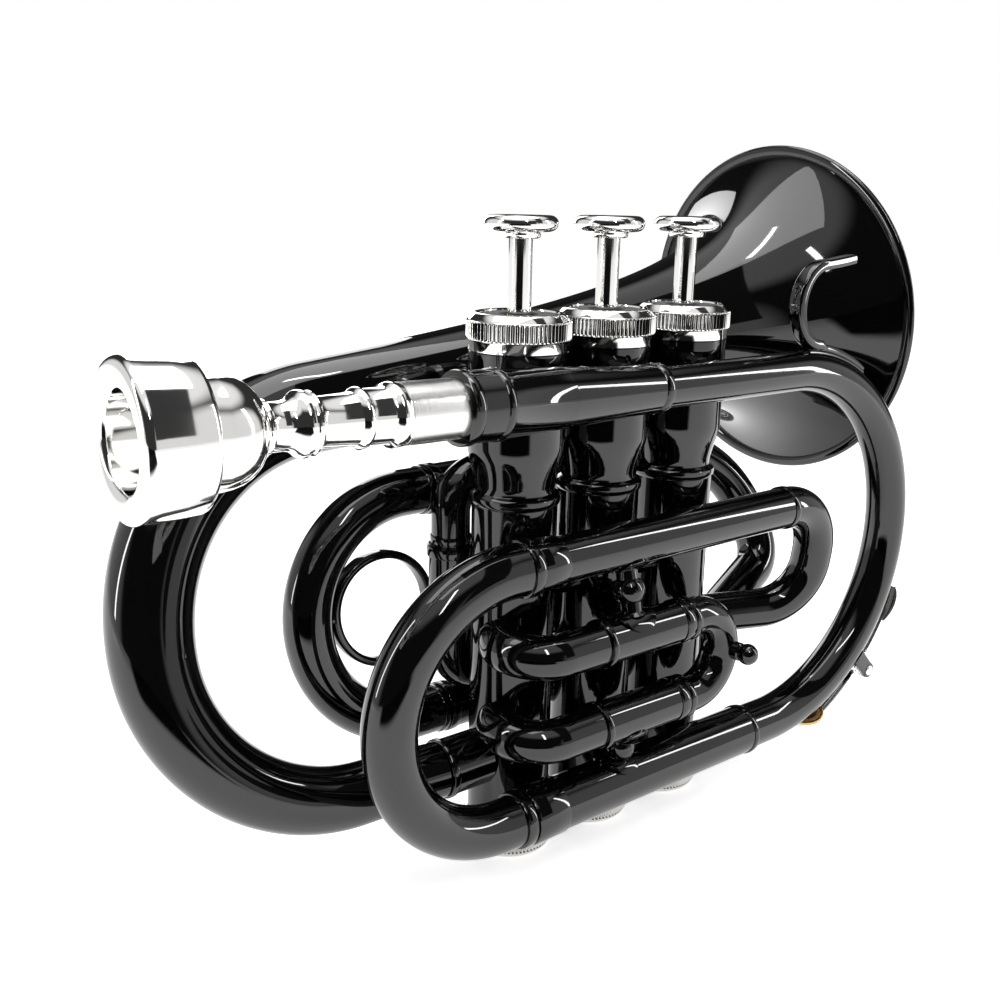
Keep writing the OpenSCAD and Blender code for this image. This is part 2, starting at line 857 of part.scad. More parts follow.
module leadpipe() {
    color(lacquer)
        along_leadpipe()
            rotate_extrude()
                polygon([
                    [4.7, lead_split_u],
                    [6.45, lead_split_u],
                    [lead_r, 2],
                    [lead_r + 0.35, 1.6],
                    [lead_r + 0.35, 0.2],
                    [front_bow_tube_start_r, 0.2],
                    [4.2, 0.2]
                ]);
}

// The large bow that carries the air down to the lower tuning sleeve
function front_bow_radius(length) =
    let (total = front_bow_x - lead_joint_x + PI * front_bow_r + front_bow_x - lower_sleeve_x)
    front_bow_tube_start_r + (front_bow_tube_end_r - front_bow_tube_start_r) * length / total;

// Outer radius of the front bow at an angle round it, from +X
function front_bow_radius_at(angle) =
    front_bow_radius(front_bow_x - lead_joint_x + PI * front_bow_r * (90 - angle) / 180);

module front_bow() {
    start = [lead_joint_x, -plane_y, lead_z];
    top = [front_bow_x + front_bow_r, -plane_y, lead_z];
    low = [front_bow_x + front_bow_r, -plane_y, low_z];
    stop = [lower_sleeve_x, -plane_y, low_z];
    path = concat(
        [start, start + [20, 0, 0]],
        bend_points(start, top, low, front_bow_r, 18),
        [for (p = bend_points(top, low, stop, front_bow_r, 18)) if (p[2] < front_bow_z - 0.1) p],
        [stop]
    );
    last = len(path) - 1;
    radii = [for (i = [0:last]) min(front_bow_tube_end_r, front_bow_radius(run_length(path, i)))];
    color(lacquer)
        difference() {
            tapered_tube(path, radii, tube_wall, bow_sides);
            round_front_bow(key_cup_angle)
                translate([front_bow_r, 0, 0])
                    rotate([0, 90, 0])
                        cylinder(r = nipple_bore_r, h = 8);
        }
}

module lower_tuning_sleeve() {
    a = [tuning_mouth_x, -plane_y, low_z];
    b = [lower_sleeve_x, -plane_y, low_z];
    color(lacquer) {
        tube(a, b, lower_sleeve_r, tube_wall);
    }
}

module upper_return_tube() {
    a = [tuning_mouth_x, -plane_y, upper_tube_z];
    b = [upper_tube_end_x, -plane_y, upper_tube_z];
    color(lacquer)
        tube(a, b, upper_tube_r, tube_wall);
}

module tuning_sleeve_ferrules() {
    color(lacquer) {
        tube(
            [tuning_mouth_x, -plane_y, low_z],
            [tuning_mouth_x + ferrule_len[1], -plane_y, low_z],
            lower_sleeve_r + 0.4, 0.4
        );
        tube(
            [tuning_mouth_x, -plane_y, upper_tube_z],
            [tuning_mouth_x + ferrule_len[0], -plane_y, upper_tube_z],
            upper_tube_r + 0.55, 0.55
        );
    }
}

module tuning_slide_bow() {
    face = tuning_mouth_x - slide_gap;
    neck = face - bead_w;
    color(lacquer) {
        multmatrix([
            [0, -1, 0, tuning_bow_x],
            [0, 0, -1, -plane_y],
            [1, 0, 0, tuning_mid_z],
            [0, 0, 0, 1]
        ])
            return_bend(tuning_bend, neck - tuning_bow_x, tuning_bow_tube_r, tube_wall);
        for (leg = [[low_z, lower_sleeve_r], [upper_tube_z, upper_tube_r]])
            difference() {
                bar([neck - 0.1, -plane_y, leg[0]], [face, -plane_y, leg[0]], tuning_bow_tube_r + bead_height);
                bar([neck - 0.1, -plane_y, leg[0]], [face, -plane_y, leg[0]], leg[1] - tube_wall - slide_clearance);
            }
    }
}

module tuning_slide_legs() {
    start = tuning_mouth_x - slide_gap - bead_w;
    color(silver)
        for (leg = [[low_z, lower_sleeve_r], [upper_tube_z, upper_tube_r]])
            tube(
                [start, -plane_y, leg[0]],
                [start + tuning_leg, -plane_y, leg[0]],
                leg[1] - tube_wall - slide_clearance, tube_wall
            );
}

// The small bow that turns the upper return tube down and back to the third valve
module third_valve_inlet_bow() {
    color(lacquer)
        difference() {
            tube_run(
                [
                    [upper_tube_end_x, -plane_y, upper_tube_z],
                    [inlet_corner[0], -plane_y, upper_tube_z],
                    inlet_corner,
                    [valve_pitch, 0, inlet_z]
                ],
                [inlet_bend, inlet_bend - 1],
                upper_tube_r, tube_wall, turn_joint
            );
            casing_space(2);
        }
}

// Bell: s runs from the rim towards the tail
function bell_radius(s) =
    let (
        flare = bell_r * pow((s + bell_flare) / bell_flare, -0.76),
        tail = lookup(s, bell_tail_table)
    )
    pow(pow(flare, 6) + pow(tail, 6), 1 / 6);

function bell_station(i) = bell_length * pow(i / bell_bands, 1.6);

module bell_outline(wall) {
    polygon(concat(
        [for (i = [0:bell_bands]) [bell_radius(bell_station(i)), -bell_station(i)]],
        [for (i = [bell_bands:-1:0]) [bell_radius(bell_station(i)) - wall, -bell_station(i)]]
    ));
}

module along_bell() {
    translate(bell_rim)
        rotate([0, 90 - bell_pitch, 0])
            children();
}

module bell() {
    color(lacquer)
        along_bell() {
            difference() {
                union() {
                    rotate_extrude()
                        bell_outline(bell_wall);
                    translate([0, 0, -0.6])
                        rotate_extrude()
                            translate([bell_r, 0])
                                circle(1.1);
                }
            }
        }
}

module bell_rear_bow() {
    points = concat([bell_joint], bell_path_ends);
    top = bend_points(points[0], points[1], points[2], bell_bend_top, 16);
    low = bend_points(points[1], points[2], points[3], bell_bend_low, 16);
    path = concat([points[0]], top, low, [points[3]]);
    radii = [for (i = [0:len(path) - 1]) bell_radius(bell_length + run_length(path, i))];
    color(lacquer)
        tapered_tube(path, radii, bell_wall, bow_sides);
}

module bell_tail_ferrule() {
    color(lacquer)
        difference() {
            tube(
                [tail_ferrule_x + 0.6, 0, bell_tail_z],
                [valve_x[0], 0, bell_tail_z],
                tail_tube_r, tail_tube_r - third_bore_r
            );
            casing_space(0);
        }
}

// First valve slide
module first_slide_elbows() {
    near = [valve_x[0] + 6 * cos(first_port_angle), 6 * sin(first_port_angle), 0];
    color(lacquer)
        for (z = first_z)
            difference() {
                union() {
                    tube_run(
                        [
                            near + [0, 0, z],
                            [first_corner_x, -first_y, z],
                            [first_sleeve_x[0], -first_y, z]
                        ],
                        [first_elbow_bend],
                        first_sleeve_r - 0.2, first_sleeve_r - 0.2 - first_bore_r
                    );
                    tube(
                        [first_sleeve_x[0] - 1.6, -first_y, z],
                        [first_sleeve_x[0] - 0.1, -first_y, z],
                        first_sleeve_r + bead_height, bead_height + 0.4
                    );
                }
                casing_space(0);
            }
}

module first_slide_sleeves() {
    color(lacquer)
        for (z = first_z) {
            tube(
                [first_sleeve_x[0], -first_y, z],
                [first_sleeve_x[1], -first_y, z],
                first_sleeve_r, tube_wall
            );
            tube(
                [first_sleeve_x[1] - 2.8, -first_y, z],
                [first_sleeve_x[1], -first_y, z],
                first_sleeve_r + 0.3, 0.3
            );
        }
}

module first_slide_bow() {
    rear = first_sleeve_x[0] + 2;
    face = first_sleeve_x[1] + slide_gap;
    right = first_bow_x + first_bend;
    color(lacquer) {
        tube_run(
            [
                [rear, -first_y, first_z[1]],
                [right, -first_y, first_z[1]],
                [right, -first_y, first_z[0]],
                [rear, -first_y, first_z[0]]
            ],
            [first_bend, first_bend],
            first_leg_r, tube_wall
        );
        for (z = first_z)
            tube([face, -first_y, z], [face + 2, -first_y, z], first_sleeve_r + 0.2, first_sleeve_r + 0.2 - first_leg_r);
    }
}

// The pull knob on the first slide's bow
module first_slide_knob() {
    right = first_bow_x + first_bend;
    mid_z = (first_z[0] + first_z[1]) / 2;
    out = [cos(knob_angle), sin(knob_angle), 0];
    apex = [right, -first_y, mid_z];
    color(lacquer)
        difference() {
            union() {
                bar(apex, apex + 7 * out, 1.9);
                translate(apex + 8 * out)
                    sphere(r = 2.6);
            }
            bent_bar(
                [first_bow_x, -first_y, first_z[1]],
                [right, -first_y, first_z[1]],
                apex,
                first_bend, first_leg_r
            );
            bent_bar(
                apex,
                [right, -first_y, first_z[0]],
                [first_bow_x, -first_y, first_z[0]],
                first_bend, first_leg_r
            );
        }
}

// Second valve slide
module second_sleeve(points, bends) {
    color(lacquer)
        difference() {
            union() {
                tube_run(points, bends, second_sleeve_r, tube_wall, turn_joint);
                tube(
                    points[0] - [0, 0, 0.1],
                    points[0] - [0, 0, 2.9],
                    second_sleeve_r + bead_height, bead_height + 0.2
                );
            }
            casing_space(1);
        }
}

module second_slide_sleeves() {
    second_sleeve(
        [
            [second_front_x, second_y, second_mouth_z],
            [second_front_x, second_y, second_port_z[1]],
            [0, 0, second_port_z[1]]
        ],
        [second_elbow_bend]
    );
    second_sleeve(
        [
            [second_rear_x, second_y, second_mouth_z],
            [second_rear_x, second_y, second_port_z[0]],
            [second_turn_x, second_y, second_port_z[0]],
            [0, 0, second_port_z[0]]
        ],
        [second_elbow_bend, second_elbow_bend]
    );
}

module second_slide_bow() {
    top = second_bow_z + second_bend;
    color(lacquer) {
        tube_run(
            [
                [second_rear_x, second_y, second_leg_z],
                [second_rear_x, second_y, top],
                [second_front_x, second_y, top],
                [second_front_x, second_y, second_leg_z]
            ],
            [second_bend, second_bend],
            second_leg_r, tube_wall
        );
        for (x = [second_rear_x, second_front_x])
            tube(
                [x, second_y, second_mouth_z + slide_gap],
                [x, second_y, second_mouth_z + slide_gap + 2],
                second_leg_r + 0.25, 0.25
            );
    }
}

// Third valve slide
module third_slide_upper_sleeve() {
    color(lacquer)
        tube(
            [third_mouth_x, third_top[0], third_top[1]],
            [third_joint_x, third_top[0], third_top[1]],
            third_sleeve_r, tube_wall
        );
}

module third_slide_lower_sleeve() {
    points = [
        [third_mouth_x, third_low[0], third_low[1]],
        [valve_pitch, third_low[0], third_low[1]],
        [valve_pitch, 0, third_low[1]]
    ];
    color(lacquer)
        difference() {
            tube_run(points, [third_elbow_bend], third_sleeve_r, tube_wall);
            casing_space(2);
        }
}

module third_slide_front_bow() {
    color(lacquer)
        difference() {
            tube_run(
                [
                    [third_joint_x, third_top[0], third_top[1]],
                    [third_corner[0] - 0.2, third_top[0], third_top[1]],
                    third_corner,
                    [valve_pitch, 0, third_end_z]
                ],
                [31.1, 9.3],
                third_bow_tube_r, tube_wall, turn_joint
            );
            casing_space(2);
        }
}

// Places its children in the third slide's plane, with +Z from its lower leg to its upper leg
module in_third_slide() {
    translate([0, third_low[0], third_low[1]])
        rotate([-third_lean, 0, 0])
            children();
}

module third_slide_bow() {
    face = third_mouth_x - slide_gap;
    color(lacquer)
        in_third_slide() {
            tube_run(
                [
                    [face, 0, 0],
                    [third_bow_x, 0, 0],
                    [third_bow_x, 0, 2 * third_bend],
                    [face, 0, 2 * third_bend]
                ],
                [third_bend, third_bend],
                third_bow_tube_r, third_bow_tube_r - third_leg_r + tube_wall
            );
            for (z = [0, 2 * third_bend]) {
                tube([face, 0, z], [third_leg_end_x, 0, z], third_leg_r, tube_wall);
                tube([face - 1.4, 0, z], [face, 0, z], third_bow_tube_r + 0.3, 0.3);
            }
        }
}

module third_slide_finger_ring() {
    up = (ring_z - third_low[1]) / cos(third_lean);
    color(lacquer)
        in_third_slide()
            difference() {
                union() {
                    translate([ring_x, 0, up])
                        rotate([90, 0, 0])
                            rotate_extrude()
                                translate([ring_r - 2, -ring_w / 2])
                                    square([2, ring_w]);
                    bar([third_bow_x, 0, up], [ring_x - ring_r + 1, 0, up], 1.8);
                }
                bar_run(
                    [
                        [third_mouth_x, 0, 0],
                        [third_bow_x, 0, 0],
                        [third_bow_x, 0, 2 * third_bend],
                        [third_mouth_x, 0, 2 * third_bend]
                    ],
                    [third_bend, third_bend],
                    third_bow_tube_r
                );
            }
}

// A ball brace between two parallel tubes, one above the other
module ball_brace(top_y, top_z, low_y, low_z0, ball_z) {
    mid_y = (top_y + low_y) / 2;
    union() {
        bar([brace_x, top_y, top_z], [brace_x, low_y, low_z0], 1.5);
        translate([brace_x, mid_y, ball_z])
            sphere(r = brace_ball_r);
    }
}

module ball_braces() {
    upper_gap = [upper_tube_z - upper_tube_r, first_z[0] + first_sleeve_r];
    lower_gap = [first_z[1] - first_sleeve_r, low_z + lower_sleeve_r];
    color(lacquer)
        difference() {
            union() {
                ball_brace(-plane_y, upper_tube_z, -first_y, first_z[0], (upper_gap[0] + upper_gap[1]) / 2);
                ball_brace(-first_y, first_z[1], -plane_y, low_z, (lower_gap[0] + lower_gap[1]) / 2);
                for (pad = [
                    [-plane_y, upper_tube_z, upper_tube_r],
                    [-first_y, first_z[0], first_sleeve_r],
                    [-first_y, first_z[1], first_sleeve_r],
                    [-plane_y, low_z, lower_sleeve_r]
                ])
                    intersection() {
                        tube(
                            [brace_x - 4, pad[0], pad[1]],
                            [brace_x + 4, pad[0], pad[1]],
                            pad[2] + 0.7, 0.7
                        );
                        translate([brace_x, pad[0], (pad[1] > 60 || pad[1] == first_z[1]) ? pad[1] - 20 : pad[1]])
                            cylinder(r = 3.9, h = 20);
                    }
            }
            bar([brace_x - 9, -plane_y, upper_tube_z], [brace_x + 9, -plane_y, upper_tube_z], upper_tube_r);
            bar([brace_x - 9, -first_y, first_z[0]], [brace_x + 9, -first_y, first_z[0]], first_sleeve_r);
            bar([brace_x - 9, -first_y, first_z[1]], [brace_x + 9, -first_y, first_z[1]], first_sleeve_r);
            bar([brace_x - 9, -plane_y, low_z], [brace_x + 9, -plane_y, low_z], lower_sleeve_r);
        }
}

// Rods between the upper casings and the bell
module bell_braces() {
    color(lacquer)
        for (i = [0, 2]) {
            z = bell_rim[2] + (valve_x[i] - bell_rim[0]) * tan(bell_pitch);
            difference() {
                union() {
                    bar([valve_x[i], 0, z], [valve_x[i], bell_rim[1], z], 1.9);
                    translate([valve_x[i], 0, 0])
                        intersection() {
                            translate([0, 0, z - 5])
                                cylinder(r = casing_top_r + 0.9, h = 10);
                            bar([0, 0, z], [0, bell_rim[1], z], 4.6);
                        }
                }
                translate([valve_x[i], 0, 0])
                    cylinder(r = casing_top_r, h = casing_shoulder_z);
                along_bell()
                    rotate_extrude()
                        polygon(concat(
                            [[0, 0]],
                            [for (k = [0:bell_bands]) [bell_radius(bell_station(k)), -bell_station(k)]],
                            [[0, -bell_length]]
                        ));
            }
        }
}

// Rod between the third casing and the third slide's upper sleeve
module third_slide_brace() {
    z = 79;
    x = valve_x[2];
    color(lacquer)
        difference() {
            union() {
                bar([x, 0, z], [x, third_top[0], z], 1.9);
                intersection() {
                    translate([x, 0, z - 4.4])
                        cylinder(r = casing_low_r + 0.9, h = 8.8);
                    bar([x, 0, z], [x, third_top[0], z], 4.4);
                }
            }
            casing_space(2);
            bar([x - 9, third_top[0], third_top[1]], [x + 9, third_top[0], third_top[1]], third_sleeve_r);
        }
}

// The hook for the little finger: a strip bent round and seated on the front bow
module finger_hook() {
    seat_r = front_bow_radius_at(58) + 0.05;
    low = lead_z + seat_r + hook_t / 2;
    centre = [54.5, -plane_y, low + hook_bend];
    color(lacquer)
        difference() {
            union() {
                translate(centre)
                    rotate([90, 0, 0])
                        rotate([0, 0, 90])
                            rotate_extrude(angle = 180)
                                translate([hook_bend - hook_t / 2, -hook_w / 2])
                                    square([hook_t, hook_w]);
                translate(centre + [0, -hook_w / 2, hook_bend - hook_t / 2])
                    cube([14.5, hook_w, hook_t]);
                intersection() {
                    round_front_bow(48)
                        rotate_extrude(angle = 40)
                            translate([front_bow_r, 0])
                                circle(seat_r + 1.1);
                    translate([50.5, -plane_y - hook_w / 2, lead_z - 14])
                        cube([23.5, hook_w, 24]);
                }
            }
            round_front_bow(40)
                rotate_extrude(angle = 55)
                    translate([front_bow_r, 0])
                        circle(seat_r);
            round_front_bow(0)
                translate([0, 0, -hook_w])
                    cylinder(r = front_bow_r + 1.5, h = 2 * hook_w);
        }
}

// Water key
module water_key_saddle() {
    color("#8f8f8c")
        difference() {
            union() {
                round_front_bow(key_pivot_angle)
                    for (s = [-1, 1])
                        translate([0, 0, s * (key_width / 2 + 0.9) - 0.6])
                            union() {
                                translate([front_bow_r, -1.8, 0])
                                    cube([key_pin_radius - front_bow_r, 3.6, 1.2]);
                                translate([key_pin_radius, 0, 0])
                                    cylinder(r = 1.8, h = 1.2);
                            }
                round_front_bow(key_cup_angle)
                    translate([front_bow_r, 0, 0])
                        rotate([0, 90, 0])
                            cylinder(r = nipple_r, h = cup_seat - front_bow_r);
            }
            round_front_bow(key_cup_angle - 12)
                rotate_extrude(angle = 45)
                    translate([front_bow_r, 0])
                        circle(front_bow_radius_at(key_cup_angle) + 0.05);
            round_front_bow(key_pivot_angle)
                translate([key_pin_radius, 0, -key_width])
                    cylinder(r = key_pin_r, h = 2 * key_width);
            round_front_bow(key_cup_angle)
                translate([front_bow_r, 0, 0])
                    rotate([0, 90, 0])
                        cylinder(r = nipple_bore_r, h = 20);
        }
}

module water_key_pin() {
    color(silver)
        round_front_bow(key_pivot_angle)
            translate([key_pin_radius, 0, -key_width / 2 - 1.5])
                cylinder(r = key_pin_r, h = key_width + 3);
}

module water_key_lever() {
    color(silver)
        difference() {
            union() {
                round_front_bow(key_pivot_angle)
                    translate([key_pin_radius, 0, -key_width / 2])
                        cylinder(r = key_boss_r, h = key_width);
                round_front_bow(key_cup_angle - 3)
                    rotate_extrude(angle = -key_cup_angle - 18)
                        translate([key_pin_radius + 0.4, -key_arm_w / 2])
                            square([1.3, key_arm_w]);
                round_front_bow(-28)
                    rotate_extrude(angle = 8)
                        translate([key_pin_radius + 0.7, -3])
                            square([1.6, 6]);
                round_front_bow(key_cup_angle)
                    translate([cup_seat + 0.3, 0, 0])
                        rotate([0, 90, 0])
                            difference() {
                                cylinder(r = key_cup_r, h = 3.2);
                                translate([0, 0, -1])
                                    cylinder(r = key_cup_r - 0.6, h = 1 + key_cork_t);
                            }
            }
            round_front_bow(key_pivot_angle)
                translate([key_pin_radius, 0, -key_width])
                    cylinder(r = key_pin_r + key_play, h = 2 * key_width);
        }
}

module water_key_cork() {
    color("#9a6b3f")
        round_front_bow(key_cup_angle)
            translate([cup_seat, 0, 0])
                rotate([0, 90, 0])
                    cylinder(r = key_cup_r - 0.6, h = key_cork_t + 0.3);
}

function curl_ring(centre, angle, r) =
    [for (j = [0:5])
        centre + r * (cos(60 * j) * [cos(angle), sin(angle), 0] + sin(60 * j) * [0, 0, 1])];

// The spring that holds the key shut: a wire wound round the lever's boss on both sides of its arm
module water_key_spring() {
    steps = key_curls * 8;
    first = key_arm_w / 2 + key_wire_r + 0.2;
    echo(least_gap_between_curls = key_curl_pitch - 2 * key_wire_r);
    color("#b9a25a")
        for (side = [1, -1])
            round_front_bow(key_pivot_angle)
                translate([key_pin_radius, 0, 0])
                    mirror([0, 0, side == 1 ? 0 : 1])
                        polyhedron(
                            points = [for (i = [0:steps])
                                each curl_ring(
                                    [
                                        key_curl_r * cos(45 * i),
                                        key_curl_r * sin(45 * i),
                                        first + key_curl_pitch * i / 8
                                    ],
                                    45 * i, key_wire_r
                                )],
                            faces = concat(
                                skin(0, steps + 1, 6, true),
                                [[for (j = [0:5]) j]],
                                [[for (j = [5:-1:0]) steps * 6 + j]]
                            )
                        );
}

mouthpiece();
mouthpiece_receiver();
leadpipe();
front_bow();
lower_tuning_sleeve();
upper_return_tube();
tuning_sleeve_ferrules();
tuning_slide_bow();
tuning_slide_legs();
third_valve_inlet_bow();
bell();
bell_rear_bow();
bell_tail_ferrule();
valve_connecting_tubes();
valve_1_casing();
valve_2_casing();
valve_3_casing();
valve_1_top_cap();
valve_2_top_cap();
valve_3_top_cap();
valve_1_bottom_cap();
valve_2_bottom_cap();
valve_3_bottom_cap();
valve_1_piston();
valve_2_piston();
valve_3_piston();
valve_1_stem();
valve_2_stem();
valve_3_stem();
valve_1_button();
valve_2_button();
valve_3_button();
valve_1_spring();
valve_2_spring();
valve_3_spring();
valve_1_stem_felt();
valve_2_stem_felt();
valve_3_stem_felt();
top_cap_felts();
valve_guides();
first_slide_elbows();
first_slide_sleeves();
first_slide_bow();
first_slide_knob();
second_slide_sleeves();
second_slide_bow();
third_slide_upper_sleeve();
third_slide_lower_sleeve();
third_slide_front_bow();
third_slide_bow();
third_slide_finger_ring();
ball_braces();
bell_braces();
third_slide_brace();
finger_hook();
water_key_saddle();
water_key_pin();
water_key_lever();
water_key_cork();
water_key_spring();
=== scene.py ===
"""A pocket trumpet in black lacquer with silver plated caps, buttons and mouthpiece."""
import math
import bmesh
import bpy
import numpy as np
from mathutils import Matrix, Vector


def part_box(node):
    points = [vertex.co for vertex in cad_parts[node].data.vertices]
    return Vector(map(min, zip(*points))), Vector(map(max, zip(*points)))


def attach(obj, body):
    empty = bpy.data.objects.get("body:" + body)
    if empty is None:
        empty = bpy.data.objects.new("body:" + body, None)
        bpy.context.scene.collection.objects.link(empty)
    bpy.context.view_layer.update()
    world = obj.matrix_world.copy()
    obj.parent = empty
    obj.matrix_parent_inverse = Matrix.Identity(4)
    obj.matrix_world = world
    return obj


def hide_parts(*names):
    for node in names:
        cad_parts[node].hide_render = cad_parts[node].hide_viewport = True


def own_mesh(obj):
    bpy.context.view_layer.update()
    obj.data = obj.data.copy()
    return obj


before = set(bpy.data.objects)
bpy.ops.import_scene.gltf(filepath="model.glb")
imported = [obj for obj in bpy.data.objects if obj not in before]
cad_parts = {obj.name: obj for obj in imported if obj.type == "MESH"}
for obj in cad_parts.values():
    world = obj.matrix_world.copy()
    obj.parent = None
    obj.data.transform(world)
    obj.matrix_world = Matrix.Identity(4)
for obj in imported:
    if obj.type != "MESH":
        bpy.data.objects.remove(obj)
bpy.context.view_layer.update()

# Camera: stands where the photograph was taken from, to the right of the mouthpiece, a little
# behind it and a little above the leadpipe, with a normal lens.
azimuth, pitch, roll = (math.radians(a) for a in (52.026, 15.321, 1.174))
standpoint = (-0.174894, -0.186158, 0.150600)
camera = bpy.data.objects.new("camera", bpy.data.cameras.new("camera"))
bpy.context.scene.collection.objects.link(camera)
bpy.context.scene.camera = camera
camera.data.sensor_width = 36.0
camera.data.lens = 39.61
camera.data.clip_start = 0.01
forward = Vector((math.cos(azimuth) * math.cos(pitch), math.sin(azimuth) * math.cos(pitch),
                  -math.sin(pitch)))
level = Vector((math.sin(azimuth), -math.cos(azimuth), 0.0))
upward = level.cross(forward)
right = math.cos(roll) * level + math.sin(roll) * upward
top = -math.sin(roll) * level + math.cos(roll) * upward
camera.matrix_world = Matrix.Translation(standpoint) @ Matrix(
    (right, top, -forward)).transposed().to_4x4()

# World: a white studio. It is white to the camera and soft grey as a lamp. In reflections it is
# a bright canopy overhead and a bright panel on each side, with a dark room between.
bpy.context.scene.view_settings.view_transform = "Standard"
room, canopy_white, panel_white, cloth_black, lamp_grey = 0.03, 0.85, 0.75, 0.04, 0.42


def linear(colour):
    """The linear values of an sRGB colour written as a hex string."""
    parts = [int(colour[i:i + 2], 16) / 255.0 for i in (1, 3, 5)]
    return [p / 12.92 if p <= 0.04045 else ((p + 0.055) / 1.055) ** 2.4 for p in parts] + [1.0]


def add_node(tree, kind, inputs=None, **settings):
    """Adds one node, sets its properties, and sets or links its input sockets."""
    made = tree.nodes.new(kind)
    for key, value in settings.items():
        setattr(made, key, value)
    for key, value in (inputs or {}).items():
        if isinstance(value, bpy.types.NodeSocket):
            tree.links.new(value, made.inputs[key])
        else:
            made.inputs[key].default_value = value
    return made


world = bpy.data.worlds.new("studio")
bpy.context.scene.world = world
world.use_nodes = True
sky = world.node_tree
sky.nodes.clear()
rays = add_node(sky, "ShaderNodeLightPath")
direction = add_node(sky, "ShaderNodeTexCoord")
axes = add_node(sky, "ShaderNodeSeparateXYZ", {0: direction.outputs["Generated"]})
canopy = add_node(sky, "ShaderNodeMapRange", {
    "Value": axes.outputs["Z"], "From Min": 0.62, "From Max": 0.80,
    "To Min": room, "To Max": canopy_white}, interpolation_type="SMOOTHSTEP")
sides = add_node(sky, "ShaderNodeMath", {0: axes.outputs["X"], 1: -0.73}, operation="MULTIPLY")
across = add_node(sky, "ShaderNodeMath", {
    0: axes.outputs["Y"], 1: 0.68, 2: sides.outputs[0]}, operation="MULTIPLY_ADD")
wing = add_node(sky, "ShaderNodeMath", {0: across.outputs[0]}, operation="ABSOLUTE")
panel = add_node(sky, "ShaderNodeMapRange", {
    "Value": wing.outputs[0], "From Min": 0.70, "From Max": 0.86,
    "To Min": 0.0, "To Max": panel_white}, interpolation_type="SMOOTHSTEP")
reflected = add_node(sky, "ShaderNodeMath", {
    0: canopy.outputs[0], 1: panel.outputs[0]}, operation="MAXIMUM")
# a dark curtain hangs to the right of the camera, and shows as a patch in polished metal there
curtain_width = add_node(sky, "ShaderNodeMath", {
    0: axes.outputs["X"], 1: 0.36, 2: 0.14}, operation="COMPARE")
curtain_side = add_node(sky, "ShaderNodeMath", {
    0: axes.outputs["Y"], 1: -0.15}, operation="LESS_THAN")
curtain_foot = add_node(sky, "ShaderNodeMath", {
    0: axes.outputs["Z"], 1: 0.16}, operation="GREATER_THAN")
curtain_edges = add_node(sky, "ShaderNodeMath", {
    0: curtain_width.outputs[0], 1: curtain_side.outputs[0]}, operation="MULTIPLY")
curtain = add_node(sky, "ShaderNodeMath", {
    0: curtain_edges.outputs[0], 1: curtain_foot.outputs[0]}, operation="MULTIPLY")
reflected_room = add_node(sky, "ShaderNodeMix", {
    0: curtain.outputs[0], 2: reflected.outputs[0], 3: cloth_black})
either = add_node(sky, "ShaderNodeMath", {
    0: rays.outputs["Is Glossy Ray"], 1: rays.outputs["Is Transmission Ray"]},
    operation="MAXIMUM")
lamp_level = add_node(sky, "ShaderNodeMix", {
    0: either.outputs[0], 2: lamp_grey, 3: reflected_room.outputs[0]})
seen = add_node(sky, "ShaderNodeMath", {
    0: rays.outputs["Is Camera Ray"], 1: lamp_level.outputs[0]}, operation="MAXIMUM")
backdrop = add_node(sky, "ShaderNodeBackground", {
    "Color": linear("#ffffff"), "Strength": seen.outputs[0]})
add_node(sky, "ShaderNodeOutputWorld", {"Surface": backdrop.outputs[0]})

# Floor: a sheet of white paper that keeps the shadow. In reflections only, a wedge of it under the
# camera is painted near black, a painted reflection that shows as a dark gap in upright silver.
floor_half, direct_glow, mirror_glow = 3.0, 0.65, 0.60
floor_mesh = bpy.data.meshes.new("floor")
floor_mesh.from_pydata([(-floor_half, -floor_half, 0), (floor_half, -floor_half, 0),
                        (floor_half, floor_half, 0), (-floor_half, floor_half, 0)],
                       [], [(0, 1, 2, 3)])
floor = bpy.data.objects.new("floor", floor_mesh)
bpy.context.scene.collection.objects.link(floor)


def new_finish(name):
    """A material with an empty node tree: the material, its tree, and the piece's Object place."""
    material = bpy.data.materials.new(name)
    material.use_nodes = True
    material.node_tree.nodes.clear()
    place = add_node(material.node_tree, "ShaderNodeTexCoord")
    return material, material.node_tree, place.outputs["Object"]


# the paper is matt and lit from below as well, so it looks clean white but for a soft shadow
paper, sheet, paper_place = new_finish("white paper sweep with painted dark reflection")
floor_rays = add_node(sheet, "ShaderNodeLightPath")
# painted reflection: in glossy rays only, a wedge of the paper towards the camera is painted near
# black
facing = add_node(sheet, "ShaderNodeMapping", {
    "Vector": paper_place, "Rotation": (0.0, 0.0, math.radians(-226.8))})
towards = add_node(sheet, "ShaderNodeSeparateXYZ", {0: facing.outputs[0]})
painted_wedge_reach = add_node(sheet, "ShaderNodeMapRange", {
    "Value": towards.outputs["X"], "From Min": 0.22, "From Max": 0.34,
    "To Min": 0.0, "To Max": 1.0}, interpolation_type="SMOOTHSTEP")
sideways = add_node(sheet, "ShaderNodeMath", {0: towards.outputs["Y"]}, operation="ABSOLUTE")
slope = add_node(sheet, "ShaderNodeMath", {
    0: sideways.outputs[0], 1: towards.outputs["X"]}, operation="DIVIDE")
painted_wedge_spread = add_node(sheet, "ShaderNodeMapRange", {
    "Value": slope.outputs[0], "From Min": 0.55, "From Max": 0.75,
    "To Min": 1.0, "To Max": 0.0}, interpolation_type="SMOOTHSTEP")
painted_reflection_wedge = add_node(sheet, "ShaderNodeMath", {
    0: painted_wedge_reach.outputs[0], 1: painted_wedge_spread.outputs[0]}, operation="MULTIPLY")
painted_reflection_mask = add_node(sheet, "ShaderNodeMath", {
    0: painted_reflection_wedge.outputs[0], 1: floor_rays.outputs["Is Glossy Ray"]}, operation="MULTIPLY")
